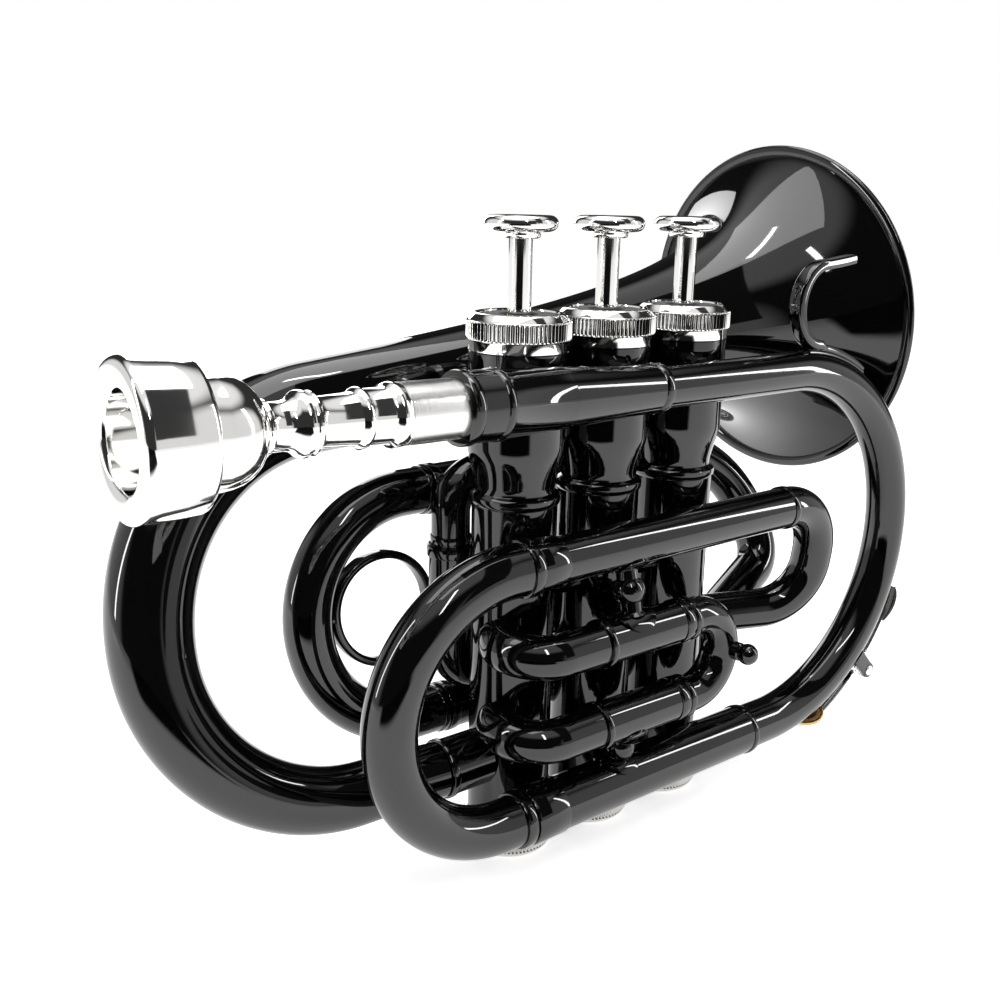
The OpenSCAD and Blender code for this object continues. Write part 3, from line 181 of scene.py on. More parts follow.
# the near black #161616 is the painted reflection's colour, and the rest is the paper's own white
paper_and_painted_reflection_colour = add_node(sheet, "ShaderNodeMix", {
    0: painted_reflection_mask.outputs[0], 6: linear("#f2f2f2"), 7: linear("#161616")}, data_type="RGBA")
matt = add_node(sheet, "ShaderNodeBsdfDiffuse", {"Color": paper_and_painted_reflection_colour.outputs[2]})
clear = add_node(sheet, "ShaderNodeMath", {
    0: floor_rays.outputs["Is Glossy Ray"], 1: painted_reflection_mask.outputs[0]}, operation="SUBTRACT")
glossy_glow = add_node(sheet, "ShaderNodeMath", {
    0: clear.outputs[0], 1: mirror_glow}, operation="MULTIPLY")
direct = add_node(sheet, "ShaderNodeMath", {
    0: floor_rays.outputs["Is Camera Ray"], 1: floor_rays.outputs["Is Transmission Ray"]},
    operation="MAXIMUM")
glow_level = add_node(sheet, "ShaderNodeMath", {
    0: direct.outputs[0], 1: direct_glow, 2: glossy_glow.outputs[0]}, operation="MULTIPLY_ADD")
glow = add_node(sheet, "ShaderNodeEmission", {
    "Color": linear("#ffffff"), "Strength": glow_level.outputs[0]})
both = add_node(sheet, "ShaderNodeAddShader", {0: matt.outputs[0], 1: glow.outputs[0]})
add_node(sheet, "ShaderNodeOutputMaterial", {"Surface": both.outputs[0]})
floor_mesh.materials.append(paper)

# Lamps: tall soft boxes round the trumpet, one overhead, and a short strip over the bell.
# They draw the long streaks on the black tubes and light the silver.
for lamp_name, place, target, wide, high, watts in (
    ("left strip", (-0.80, 0.30, 0.45), (-0.02, 0.0, 0.08), 0.06, 0.8, 2.6),
    ("camera strip", (-0.24, -0.62, 0.86), (0.0, 0.0, 0.08), 0.06, 0.45, 2.0),
    ("right strip", (0.80, -0.55, 0.42), (0.02, 0.0, 0.08), 0.06, 0.8, 2.6),
    ("overhead box", (-0.02, 0.12, 0.92), (0.0, 0.0, 0.0), 0.80, 0.65, 4.6),
    ("bell strip", (0.12, 0.0, 0.78), (0.09, 0.03, 0.12), 0.03, 0.20, 0.5),
    ("rear box", (0.35, 0.95, 0.45), (0.0, 0.0, 0.08), 0.30, 0.7, 2.4),
):
    lamp = bpy.data.lights.new(lamp_name, "AREA")
    lamp.shape = "RECTANGLE"
    lamp.size = wide
    lamp.size_y = high
    lamp.energy = watts
    holder = bpy.data.objects.new(lamp_name, lamp)
    bpy.context.scene.collection.objects.link(holder)
    aim = Vector(target) - Vector(place)
    holder.matrix_world = (Matrix.Translation(place)
                           @ aim.to_track_quat("-Z", "Y").to_matrix().to_4x4())

# Leadpipe: a drawn brass tube that widens towards the receiver, with a solder ring at its front
# joint. It is sprayed with black lacquer and baked.
# The lacquer looks deep black and glassy, with sharp streaks that waver a little: its orange
# peel, 2.5 mm across, is too shallow to break them, and its gloss varies in 17 mm patches.
lacquer, coat, lacquer_place = new_finish("baked black lacquer")
peel = add_node(coat, "ShaderNodeTexNoise", {
    "Vector": lacquer_place, "Scale": 400.0, "Detail": 1.0})
dust = add_node(coat, "ShaderNodeTexNoise", {
    "Vector": lacquer_place, "Scale": 60.0, "Detail": 5.0})
sheen_range = add_node(coat, "ShaderNodeMapRange", {
    "Value": dust.outputs["Fac"], "From Min": 0.35, "From Max": 0.75,
    "To Min": 0.03, "To Max": 0.075})
ripple = add_node(coat, "ShaderNodeBump", {
    "Height": peel.outputs["Fac"], "Strength": 0.015, "Distance": 0.0002})
gloss = add_node(coat, "ShaderNodeBsdfPrincipled", {
    "Base Color": linear("#040404"), "Roughness": sheen_range.outputs[0],
    "Normal": ripple.outputs[0], "IOR": 1.6})
add_node(coat, "ShaderNodeOutputMaterial", {"Surface": gloss.outputs[0]})


def placed(origin, axis, side=(0.0, 1.0, 0.0)):
    """A 3x4 array that takes local x, y, z to mm: z runs along axis, and x is nearest to side."""
    z = np.array(axis, float) / np.linalg.norm(axis)
    x = np.array(side, float) - z * np.dot(side, z)
    if np.linalg.norm(x) < 1e-6:
        x = np.array((1.0, 0.0, 0.0)) - z * z[0]
    x /= np.linalg.norm(x)
    return np.column_stack([x, np.cross(z, x), z, np.array(origin, float)])


def turned(profile, place, columns=96, cut=None):
    """Grid of a turned shape: profile point (r, h) at angle a lies at (r cos a, r sin a, h).

    A cut takes some of the radius away by radius, height and angle.
    """
    profile = np.array(profile, float)
    angle = np.linspace(0.0, 2.0 * math.pi, columns, endpoint=False)
    radius = profile[:, :1] * np.ones((1, columns))
    if cut is not None:
        radius = radius - cut(profile[:, :1], profile[:, 1:2], angle[None, :])
    height = profile[:, 1:2] * np.ones((1, columns))
    local = np.stack([radius * np.cos(angle), radius * np.sin(angle), height,
                      np.ones_like(radius)], -1)
    return local @ place.T


def piece(name, grids, material, body, nodes=(), sharp=32.0):
    """One object from grids of points in mm, each closed on itself in both directions.

    A grid whose signed volume, the sum of its faces' pyramids, is negative is turned outwards,
    and points that meet at a pole are merged.
    """
    points, faces, first = [], [], 0
    for grid in grids:
        rows, columns = grid.shape[:2]
        i, j = np.meshgrid(np.arange(rows), np.arange(columns), indexing="ij")
        a = i * columns + j
        b = i * columns + (j + 1) % columns
        c = (i + 1) % rows * columns + (j + 1) % columns
        d = (i + 1) % rows * columns + j
        quads = np.stack([a, b, c, d], -1).reshape(-1, 4)
        flat = grid.reshape(-1, 3) * 0.001
        p = flat[quads] - flat.mean(0)
        volume = (np.sum(p[:, 0] * np.cross(p[:, 1], p[:, 2]))
                  + np.sum(p[:, 0] * np.cross(p[:, 2], p[:, 3])))
        points.append(flat)
        faces.append((quads if volume > 0 else quads[:, ::-1]) + first)
        first += len(flat)
    mesh = bpy.data.meshes.new(name)
    mesh.from_pydata(np.concatenate(points).tolist(), [], np.concatenate(faces).tolist())
    shell = bmesh.new()
    shell.from_mesh(mesh)
    bmesh.ops.remove_doubles(shell, verts=shell.verts, dist=1e-7)
    bmesh.ops.dissolve_degenerate(shell, edges=shell.edges, dist=1e-8)
    bmesh.ops.delete(shell, geom=[e for e in shell.edges if not e.link_faces], context="EDGES")
    bmesh.ops.delete(shell, geom=[v for v in shell.verts if not v.link_faces], context="VERTS")
    shell.to_mesh(mesh)
    shell.free()
    mesh.polygons.foreach_set("use_smooth", [True] * len(mesh.polygons))
    mesh.set_sharp_from_angle(angle=math.radians(sharp))
    mesh.materials.append(material)
    made = bpy.data.objects.new(name, mesh)
    bpy.context.scene.collection.objects.link(made)
    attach(made, body)
    if nodes:
        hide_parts(*nodes)
    return made


# the leadpipe, front bow and tuning slide lie in one upright plane
plane_y, lead_z, joint_x = -17.3, 110.9, 0.7
lead_tilt = math.radians(0.87)
lead = placed((joint_x, plane_y, lead_z), (-math.cos(lead_tilt), 0.0, math.sin(lead_tilt)))
pipe_end = 29.0
pipe_profile = [(4.7, pipe_end), (6.45, pipe_end), (6.4, 28.2), (5.35, 2.6), (5.65, 2.2),
                (5.72, 1.6), (5.72, 0.8), (5.6, 0.3), (4.75, 0.2), (4.2, 0.2)]
piece("leadpipe_tube", [turned(pipe_profile, lead)], lacquer, "horn", ["leadpipe"])

# Receiver: a turned sleeve soldered on the leadpipe, with stepped rings at its mouth,
# lacquered with the tube. The mouthpiece's tapered shank wedges in its bore.
receiver_end = 55.2
receiver_profile = [
    (5.95, receiver_end), (7.0, receiver_end), (7.35, 55.0), (7.5, 54.6), (7.5, 53.3),
    (7.3, 52.9), (7.1, 52.7), (7.1, 47.3), (7.3, 47.0), (7.38, 46.4), (7.38, 45.9),
    (7.2, 45.5), (7.0, 45.2), (6.45, 29.02), (4.7, 29.02), (4.7, 32.0), (5.05, 32.0)]
piece("mouthpiece_receiver_sleeve", [turned(receiver_profile, lead)], lacquer, "horn",
      ["mouthpiece_receiver"])

# Mouthpiece: turned brass, silver plated. The cup, rim and stem are buffed to a mirror, and the
# shank keeps its fine turning marks.


def metal(name, colour, patches, detail, spread, roughness):
    """A metal whose roughness wanders, as wiping leaves it, in so many patches a metre.

    The roughness goes in a straight line from its least to its most as a noise goes from the
    lower to the upper end of its spread.
    """
    material, tree, place = new_finish(name)
    wiping = add_node(tree, "ShaderNodeTexNoise", {
        "Vector": place, "Scale": patches, "Detail": detail})
    dulling = add_node(tree, "ShaderNodeMapRange", {
        "Value": wiping.outputs["Fac"], "From Min": spread[0], "From Max": spread[1],
        "To Min": roughness[0], "To Max": roughness[1]})
    surface = add_node(tree, "ShaderNodeBsdfPrincipled", {
        "Base Color": linear(colour), "Metallic": 1.0, "Roughness": dulling.outputs[0]})
    add_node(tree, "ShaderNodeOutputMaterial", {"Surface": surface.outputs[0]})
    return material


# polished silver looks a bright, slightly warm mirror, with wiping marks 11 mm across
silver = metal("polished silver plate", "#f4f3f1", 90.0, 4.0, (0.3, 0.7), (0.045, 0.10))
# turned silver has a soft sheen across fine marks, which run round the shank 0.15 mm apart
turned_silver, lathe, lathe_place = new_finish("turned silver plate")
marks_place = add_node(lathe, "ShaderNodeMapping", {
    "Vector": lathe_place, "Scale": (7000.0, 60.0, 60.0)})
marks = add_node(lathe, "ShaderNodeTexNoise", {
    "Vector": marks_place.outputs[0], "Scale": 1.0, "Detail": 2.0})
marks_bump = add_node(lathe, "ShaderNodeBump", {
    "Height": marks.outputs["Fac"], "Strength": 0.25, "Distance": 0.00008})
satin = add_node(lathe, "ShaderNodeBsdfPrincipled", {
    "Base Color": linear("#efeeec"), "Metallic": 1.0, "Roughness": 0.24,
    "Normal": marks_bump.outputs[0]})
add_node(lathe, "ShaderNodeOutputMaterial", {"Surface": satin.outputs[0]})

rim, bite, bite_width, edge, edge_r = 120.0, 1.3, 2.65, 1.6, 12.0
cup_r, cup_depth, throat_r = 8.3, 11.7, 1.85
stem_start, shank_end = 68.1, 32.5
quarter = math.pi / 2
rim_curve = [(cup_r + bite_width * (1 - math.cos(a)), rim - bite + bite * math.sin(a))
             for a in np.linspace(0.0, quarter, 9)]
rim_curve += [(edge_r + edge * math.sin(a), rim - edge + edge * math.cos(a))
              for a in np.linspace(0.0, quarter, 8)]
cup_curve = [(throat_r + 6.45 * math.sin(a) ** 0.9,
              rim - bite - cup_depth * math.cos(a) ** 1.25)
             for a in np.linspace(math.radians(12), math.radians(88), 14)]
cup_outside = [
    (13.55, 116.5), (13.35, 112.5), (13.1, 108.6), (12.9, 108.0), (12.5, 107.65),
    (11.9, 107.5), (10.4, 107.4), (10.15, 107.2), (10.05, 106.7), (9.98, 104.4),
    (9.75, 102.4), (9.3, 100.6), (8.55, 99.1), (7.5, 97.8), (6.3, 96.8), (5.3, 96.1)]
stem_outside = [
    (4.9, 95.8), (5.0, 95.5), (5.0, 95.1), (4.6, 94.8), (4.4, 94.4), (4.35, 91.8),
    (4.6, 90.6), (5.2, 89.7), (5.8, 89.1), (6.05, 88.5), (6.0, 87.8), (5.5, 87.35),
    (5.3, 87.15), (5.4, 86.9), (5.75, 86.7), (5.8, 86.3), (5.5, 85.9), (4.85, 85.4),
    (4.65, 84.6), (4.8, 79.4), (4.95, 78.0), (5.5, 77.4), (5.75, 76.9), (5.75, 76.4),
    (5.5, 76.0), (5.3, 75.7), (5.3, 71.6), (5.5, 70.9), (6.05, 70.4), (6.2, 69.9),
    (6.2, 69.3), (6.05, 68.8), (5.95, 68.5), (5.95, stem_start)]
throat = [(2.2, stem_start), (throat_r, 91.0), (throat_r, 103.0)]
piece("mouthpiece_cup",
      [turned(rim_curve + cup_outside + stem_outside + throat + cup_curve, lead, 128)],
      silver, "mouthpiece", ["mouthpiece"])
shank_profile = [(2.25, stem_start), (6.0, stem_start), (5.92, 55.5), (5.0, shank_end),
                 (4.1, shank_end)]
piece("mouthpiece_shank", [turned(shank_profile, lead, 96)], turned_silver, "mouthpiece")

# Large front bow: a brass tube that widens as it goes, filled and bent round a former,
# from the leadpipe's joint to the lower tuning sleeve.


def bend(a, b, c, radius, steps=24):
    """Points of the arc of one radius that rounds off the corner b between a and c.

    With u and w the ways in and out and t the turn between them, the arc starts radius tan(t / 2)
    before b, and its point at angle g is centre + radius (u sin g - inward cos g).
    """
    a, b, c = (np.array(p, float) for p in (a, b, c))
    u = (b - a) / np.linalg.norm(b - a)
    w = (c - b) / np.linalg.norm(c - b)
    turn = math.acos(max(-1.0, min(1.0, float(u @ w))))
    start = b - u * radius * math.tan(turn / 2)
    inward = w - u * (u @ w)
    inward /= np.linalg.norm(inward)
    centre = start + inward * radius
    angle = np.linspace(0.0, turn, steps)[:, None]
    return centre + radius * (np.sin(angle) * u - np.cos(angle) * inward)


def route(points, radii, steps=24):
    """A path through the points, with an arc of its own radius at each inner point."""
    parts = [np.array([points[0]], float)]
    for k in range(1, len(points) - 1):
        parts.append(bend(points[k - 1], points[k], points[k + 1], radii[k - 1], steps))
    parts.append(np.array([points[-1]], float))
    path = np.concatenate(parts)
    keep = np.r_[True, np.linalg.norm(np.diff(path, axis=0), axis=1) > 1e-4]
    return path[keep]


def lengths(path):
    """Distance along the path at each of its points: the running sum of its steps."""
    return np.r_[0.0, np.cumsum(np.linalg.norm(np.diff(path, axis=0), axis=1))]


def swept(path, outer, inner=0.0, columns=48):
    """Grid of a tube: ring point = path point + r (side cos a + up sin a), out and back.

    Each ring's side is the last ring's side less its part along the path, so that rings don't
    twist. The grid runs out along the outer radius and back along the inner one.
    """
    outer = np.broadcast_to(np.asarray(outer, float), len(path))
    hollow = np.any(np.asarray(inner) > 0)
    inner = np.broadcast_to(np.asarray(inner, float), len(path))
    step = np.diff(path, axis=0)
    step /= np.linalg.norm(step, axis=1)[:, None]
    along = np.concatenate([step[:1], step[1:] + step[:-1], step[-1:]])
    along /= np.linalg.norm(along, axis=1)[:, None]
    side = np.cross(along[0], (0.0, 1.0, 0.0) if abs(along[0][1]) < 0.9 else (1.0, 0.0, 0.0))
    sides = []
    for t in along:
        side = side - t * (side @ t)
        side = side / np.linalg.norm(side)
        sides.append(side)
    sides = np.array(sides)
    ups = np.cross(along, sides)
    angle = np.linspace(0.0, 2.0 * math.pi, columns, endpoint=False)
    spokes = (sides[:, None] * np.cos(angle)[None, :, None]
              + ups[:, None] * np.sin(angle)[None, :, None])
    there = path[:, None] + spokes * outer[:, None, None]
    back = path[::-1][:, None] + spokes[::-1] * inner[::-1][:, None, None]
    return np.concatenate([there, back if hollow else back[[0, -1]]])


def straight(*points):
    """A straight path through points that lie in line."""
    return np.array(points, float)


def collar(centre, axis, inner, outer, start, stop, columns=72, soft=0.35):
    """Grid of a ring round an axis, from start to stop along it, with rounded shoulders."""
    soft = min(soft, (stop - start) / 3, (outer - inner) * 0.8)
    shoulder = soft * 0.3
    return turned([(inner, start), (outer - soft, start), (outer - shoulder, start + shoulder),
                   (outer, start + soft), (outer, stop - soft),
                   (outer - shoulder, stop - shoulder), (outer - soft, stop), (inner, stop)],
                  placed(centre, axis), columns)


bow_x, bow_radius, sleeve_x = 47.9, 47.0, 39.2
bow_z = lead_z - bow_radius
low_z = lead_z - 2 * bow_radius
bow_front = bow_x + bow_radius
tube_wall = 0.45
bow_path = route([(joint_x, plane_y, lead_z), (bow_front, plane_y, lead_z),
                  (bow_front, plane_y, low_z), (sleeve_x, plane_y, low_z)],
                 (bow_radius, bow_radius), 60)
bow_run = lengths(bow_path)
bow_tube = 4.7 + 1.1 * bow_run / bow_run[-1]
piece("front_bow_tube", [swept(bow_path, bow_tube, bow_tube - tube_wall, 64)], lacquer, "horn",
      ["front_bow"])

# Tuning sleeves: two straight drawn tubes that hold the main slide, each with a thicker ferrule
# soldered on its open end. The upper one runs on forward as the return tube.
mouth_x, return_x, return_z = -34.8, 49.5, 76.0
low_r, return_r = 6.2, 5.2
forward_x = (1.0, 0.0, 0.0)
piece("lower_tuning_sleeve_tube",
      [swept(straight((mouth_x, plane_y, low_z), (0.0, plane_y, low_z),
                      (sleeve_x, plane_y, low_z)), low_r, 5.75, 64)],
      lacquer, "horn", ["lower_tuning_sleeve"])
piece("upper_return_tube_run",
      [swept(straight((mouth_x, plane_y, return_z), (0.0, plane_y, return_z),
                      (return_x, plane_y, return_z)), return_r, 4.75, 64),
       collar((return_x, plane_y, return_z), forward_x, 5.15, 5.55, -2.2, -0.2)],
      lacquer, "horn", ["upper_return_tube"])
piece("tuning_ferrules",
      [collar((mouth_x, plane_y, low_z), forward_x, 6.15, 6.6, 0.0, 9.0),
       collar((mouth_x, plane_y, return_z), forward_x, 5.15, 5.75, 0.0, 7.0),
       collar((sleeve_x, plane_y, low_z), forward_x, 6.15, 6.5, -1.6, 0.0)],
      lacquer, "horn", ["tuning_sleeve_ferrules"])

# Main tuning slide: a half-round brass bow with a bead at each end, lacquered, and two legs that
# are soldered in it, plated, and lapped to run inside the sleeves.
tuning_bend = (return_z - low_z) / 2
tuning_left = -40.2 - tuning_bend
tuning_face = mouth_x - 0.3
bead, leg_length = 2.6, 39.4
tuning_path = route([(tuning_face - bead, plane_y, low_z), (tuning_left, plane_y, low_z),
                     (tuning_left, plane_y, return_z), (tuning_face - bead, plane_y, return_z)],
                    (tuning_bend, tuning_bend), 48)
piece("tuning_bow_tube",
      [swept(tuning_path, 5.8, 5.35, 64),
       collar((tuning_face, plane_y, low_z), forward_x, 5.65, 6.45, -bead, 0.0),
       collar((tuning_face, plane_y, return_z), forward_x, 4.7, 6.35, -bead, 0.0)],
      lacquer, "tuning_slide", ["tuning_slide_bow"])
piece("tuning_legs_tubes",
      [swept(straight((tuning_face - bead, plane_y, z), (tuning_face + leg_length, plane_y, z)),
             r, r - tube_wall) for z, r in ((low_z, 5.7), (return_z, 4.7))],
      silver, "tuning_slide", ["tuning_slide_legs"])

# Small front bow: a drawn brass tube that turns the return tube down and back into the third
# valve. It is bent on a former, soldered at both ends and lacquered.
inlet_path = route([(return_x, plane_y, return_z), (64.7, plane_y, return_z),
                    (64.7, -14.0, 45.5), (33.7, -2.97, 45.5)], (15.0, 14.0), 32)
piece("inlet_bow_tube", [swept(inlet_path, return_r, 4.75, 56)], lacquer, "horn",
      ["third_valve_inlet_bow"])

# Bell: sheet brass spun over a mandrel, with its edge rolled round a wire and lacquered inside
# and out. The flare falls off as a power of the distance from the rim.
bell_rim = np.array((98.4, 30.6, 119.2))
bell_pitch = math.radians(5.06)
bell_axis = np.array((math.cos(bell_pitch), 0.0, math.sin(bell_pitch)))
bell_wall, bell_straight, mouth_r, flare_length = 0.7, 154.0, 47.0, 20.78


def bell_radius(s):
    """Outer radius at a distance s from the rim.

    The flare is mouth_r ((s + flare_length) / flare_length) ^ -0.76. It is eased into the
    tail's slow taper by the sixth root of the sum of both to the sixth power.
    """
    flare = mouth_r * ((s + flare_length) / flare_length) ** -0.76
    tail = np.interp(s, (156.0, 231.0, 278.0, 318.0), (9.84, 8.22, 6.77, 5.29))
    return (flare ** 6 + tail ** 6) ** (1 / 6)


stations = bell_straight * np.linspace(0.0, 1.0, 72) ** 1.6
bell_outside = [(float(bell_radius(s)), -float(s)) for s in stations[::-1] if s > 1.0]
rolled_edge = [(46.55 + 1.55 * math.sin(a), -0.6 - 1.1 * math.cos(a))
               for a in np.linspace(math.radians(-60), math.radians(235), 28)]
bell_inside = [(float(bell_radius(s)) - bell_wall, -float(s)) for s in stations if s > 1.3]
piece("bell_flare",
      [turned(bell_outside + rolled_edge + bell_inside, placed(bell_rim, bell_axis), 192)],
      lacquer, "horn", ["bell"], sharp=50.0)

# Rear bow of the bell: the bell's tail is bent down and forward again to the lower part of the
# first casing, where a soldered ferrule takes it in.
bell_end = bell_rim - bell_straight * bell_axis
rear_x, tail_x, tail_z = -103.66, -46.0, 24.5
rear_path = route([bell_end, (rear_x, bell_end[1], 101.3), (rear_x, 5.5, 24.1),
                   (tail_x, 0.0, tail_z)], (47.2, 38.6), 64)
rear_tube = bell_radius(bell_straight + lengths(rear_path))
piece("bell_rear_tube", [swept(rear_path, rear_tube, rear_tube - bell_wall, 64)], lacquer,
      "horn", ["bell_rear_bow"])
piece("bell_tail_collar",
      [swept(straight((tail_x, 0.0, tail_z), (-40.0, 0.0, tail_z), (-34.3, 0.0, tail_z)),
             6.5, 5.35, 56),
       collar((tail_x, 0.0, tail_z), forward_x, 6.45, 6.9, 0.2, 1.8)],
      lacquer, "horn", ["bell_tail_ferrule"])

# Valve casings: three drawn tubes with a bead, a neck and a flared upper part that the top cap
# screws on, lacquered. Short tubes are brazed between them.
valve_gap, casing_r, valve_bore, casing_foot, casing_top = 25.4, 9.7, 7.95, 2.0, 122.3
valve_x = (-valve_gap, 0.0, valve_gap)
upright = (0.0, 0.0, 1.0)
valve_places = [placed((x, 0.0, 0.0), upright) for x in valve_x]
casing_profile = [
    (valve_bore, casing_foot), (casing_r, casing_foot), (casing_r, 84.9), (9.95, 85.1),
    (10.2, 85.6), (10.25, 86.3), (10.2, 87.0), (9.9, 87.4), (9.3, 87.7), (8.95, 88.0),
    (8.92, 88.6), (9.05, 89.6), (9.45, 91.4), (9.95, 93.4), (10.5, 95.4), (10.85, 97.0),
    (10.9, 98.2), (10.9, 118.9), (casing_r, 118.9), (casing_r, casing_top),
    (valve_bore, casing_top)]
for i, place in enumerate(valve_places, 1):
    piece(f"valve_{i}_casing_tube", [turned(casing_profile, place, 112)], lacquer, "horn",
          [f"valve_{i}_casing"], sharp=28.0)
connect_z = 66.0
piece("connecting_tubes",
      [swept(straight((x + 9.0, 0.0, connect_z), (x + valve_gap - 9.0, 0.0, connect_z)),
             5.55, 5.1, 56) for x in valve_x[:2]],
      lacquer, "horn", ["valve_connecting_tubes"])

# Caps: turned brass with a knurled band cut as straight teeth, silver plated. The top caps are
# polished, and the bottom caps are dulled by handling and carry painted shade.
# painted shade: the bottom caps' silver is greyer, and smudges 4.5 mm across blur its reflections
bottom_cap_silver_with_painted_shade = metal("handled silver plate with painted shade", "#d2d0cc", 220.0, 4.0, (0.3, 0.7), (0.14, 0.26))
teeth, tooth_depth, tooth_columns = 72, 0.5, 720


def knurl(low, high, core):
    """A cut for teeth between two heights, outside the core radius: depth |cos(n a / 2)|^1.5."""
    def cut(radius, height, angle):
        """What the teeth take off the radius at a height and an angle."""
        inside = (height > low) & (height < high) & (radius > core)
        return inside * tooth_depth * np.abs(np.cos(angle * teeth / 2)) ** 1.5
    return cut


top_profile = [
    (2.7, casing_top), (9.72, casing_top), (9.72, 118.92), (10.6, 118.92), (10.9, 119.2),
    (10.9, 121.3), (11.0, 121.55), (11.3, 121.62), (11.46, 121.8), (11.48, 122.1),
    (11.48, 123.6), (11.48, 125.1), (11.46, 125.4), (11.3, 125.58), (10.95, 125.65),
    (10.85, 125.8), (10.6, 126.1), (9.9, 126.95), (9.55, 127.2), (9.2, 127.24),
    (8.75, 127.1), (8.64, 126.8), (8.6, 125.24), (4.1, 125.24), (4.05, 126.5),
    (3.9, 126.64), (2.75, 126.64)]
bottom_profile = [
    (1.5, 0.0), (8.6, 0.0), (9.4, 0.15), (10.1, 0.55), (10.5, 1.1), (10.6, 1.5),
    (10.75, 1.62), (10.93, 1.8), (10.97, 2.1), (10.97, 4.5), (10.97, 6.9), (10.93, 7.2),
    (10.75, 7.38), (10.55, 7.45), (10.5, 7.8), (10.2, 8.0), (9.72, 8.0),
    (9.72, casing_foot), (1.5, casing_foot)]
for i, place in enumerate(valve_places, 1):
    piece(f"valve_{i}_top_cap_turned",
          [turned(top_profile, place, tooth_columns, knurl(121.7, 125.5, 11.2))],
          silver, "horn", [f"valve_{i}_top_cap"], sharp=40.0)
    # the bottom caps take the greyer silver, painted shade for the shadow under the trumpet
    piece(f"valve_{i}_bottom_cap_turned",
          [turned(bottom_profile, place, tooth_columns, knurl(1.7, 7.3, 10.8))],
          bottom_cap_silver_with_painted_shade, "horn", [f"valve_{i}_bottom_cap"], sharp=40.0)

# Felts: black wool washers, pressed into the top caps under the buttons and put on the stems.
# felt looks almost black and dull, with a grey fuzz of fibres drawn 0.2 mm thick so they show
felt, wool, wool_place = new_finish("pressed black wool felt")
fibres = add_node(wool, "ShaderNodeTexNoise", {
    "Vector": wool_place, "Scale": 5000.0, "Detail": 3.0})
fibre_colour = add_node(wool, "ShaderNodeMix", {
    0: fibres.outputs["Fac"], 6: linear("#0b0b0c"), 7: linear("#26262a")}, data_type="RGBA")
fuzz = add_node(wool, "ShaderNodeBump", {
    "Height": fibres.outputs["Fac"], "Strength": 0.6, "Distance": 0.0002})
woolly = add_node(wool, "ShaderNodeBsdfPrincipled", {
    "Base Color": fibre_colour.outputs[2], "Roughness": 0.95, "Sheen Weight": 0.3,
    "Normal": fuzz.outputs[0]})
add_node(wool, "ShaderNodeOutputMaterial", {"Surface": woolly.outputs[0]})
washer_profile = [(4.15, 125.26), (8.5, 125.26), (8.52, 126.5), (8.3, 126.8), (4.4, 126.84),
                  (4.15, 126.6)]
piece("top_cap_felt_rings", [turned(washer_profile, place, 72) for place in valve_places],
      felt, "horn", ["top_cap_felts"])

# Valve stems and finger buttons: plated brass. The button is a dished disc with a
# full round rim on a small collar.
button_z, stem_r, stem_foot, stem_top = 142.64, 2.55, 116.0, 144.9
stem_profile = [(0.0, stem_foot), (stem_r, stem_foot), (stem_r, 130.0), (stem_r, stem_top),
                (0.0, stem_top)]
button_heights = [(2.6, 0.0), (3.9, 0.0), (4.2, 0.25), (4.25, 1.0), (4.7, 1.25), (5.6, 1.32)]
button_heights += [(6.1 + 1.83 * math.cos(a), 3.05 + 1.73 * math.sin(a))
                   for a in np.linspace(math.radians(-90), math.radians(128), 22)]
button_heights += [(4.2, 3.72), (3.0, 3.42), (1.5, 3.25), (0.0, 3.2), (0.0, 2.3), (2.6, 2.3)]
button_profile = [(r, button_z + h) for r, h in button_heights]
for i, place in enumerate(valve_places, 1):
    piece(f"valve_{i}_stem_rod", [turned(stem_profile, place, 64)], silver, f"valve_{i}",
          [f"valve_{i}_stem"])
    piece(f"valve_{i}_finger_button", [turned(button_profile, place, 96)], silver,
          f"valve_{i}", [f"valve_{i}_button"], sharp=50.0)

# First slide: two elbows from the first casing, two sleeves, and a small bow with a pull knob,
# all on the player's right. They are drawn brass, bent, soldered and lacquered.
first_y, first_start, first_mouth = -20.0, -15.0, 10.0
first_heights = first_upper, first_lower = (55.0, 34.9)
first_bend = (first_upper - first_lower) / 2
port_turn, port_r = math.radians(213), 8.6
port_way = (math.cos(port_turn), math.sin(port_turn))
corner_x = valve_x[0] + first_y / math.sin(port_turn) * port_way[0]
sleeve_r, sleeve_bore = 5.1, 4.65
elbow_grids, sleeve_grids = [], []
for z in first_heights:
    elbow = route([(valve_x[0] + port_r * port_way[0], port_r * port_way[1], z),
                   (corner_x, first_y, z), (first_start, first_y, z)], (8.8,), 32)
    elbow_grids.append(swept(elbow, 4.9, 4.35, 56))
    elbow_grids.append(collar((first_start, first_y, z), forward_x, 4.85, 5.65, -1.6, -0.1))
    sleeve_grids.append(swept(straight((first_start, first_y, z), (first_mouth, first_y, z)),
                              sleeve_r, sleeve_bore, 56))
    sleeve_grids.append(collar((first_mouth, first_y, z), forward_x, 5.05, 5.4, -2.8, 0.0))
piece("first_elbow_tubes", elbow_grids, lacquer, "horn", ["first_slide_elbows"])
piece("first_sleeve_tubes", sleeve_grids, lacquer, "horn", ["first_slide_sleeves"])
inner_leg_r, inner_bore_r, first_leg_x = 4.6, 4.15, -13.0
first_right = 14.5 + first_bend
first_path = route([(first_leg_x, first_y, first_lower), (first_right, first_y, first_lower),
                    (first_right, first_y, first_upper), (first_leg_x, first_y, first_upper)],
                   (first_bend, first_bend), 32)
piece("first_bow_tube",
      [swept(first_path, inner_leg_r, inner_bore_r, 56)]
      + [collar((10.3, first_y, z), forward_x, 4.55, 5.3, 0.0, 2.0) for z in first_heights],
      lacquer, "first_slide", ["first_slide_bow"])
knob_turn, knob_r = math.radians(-80), 2.6
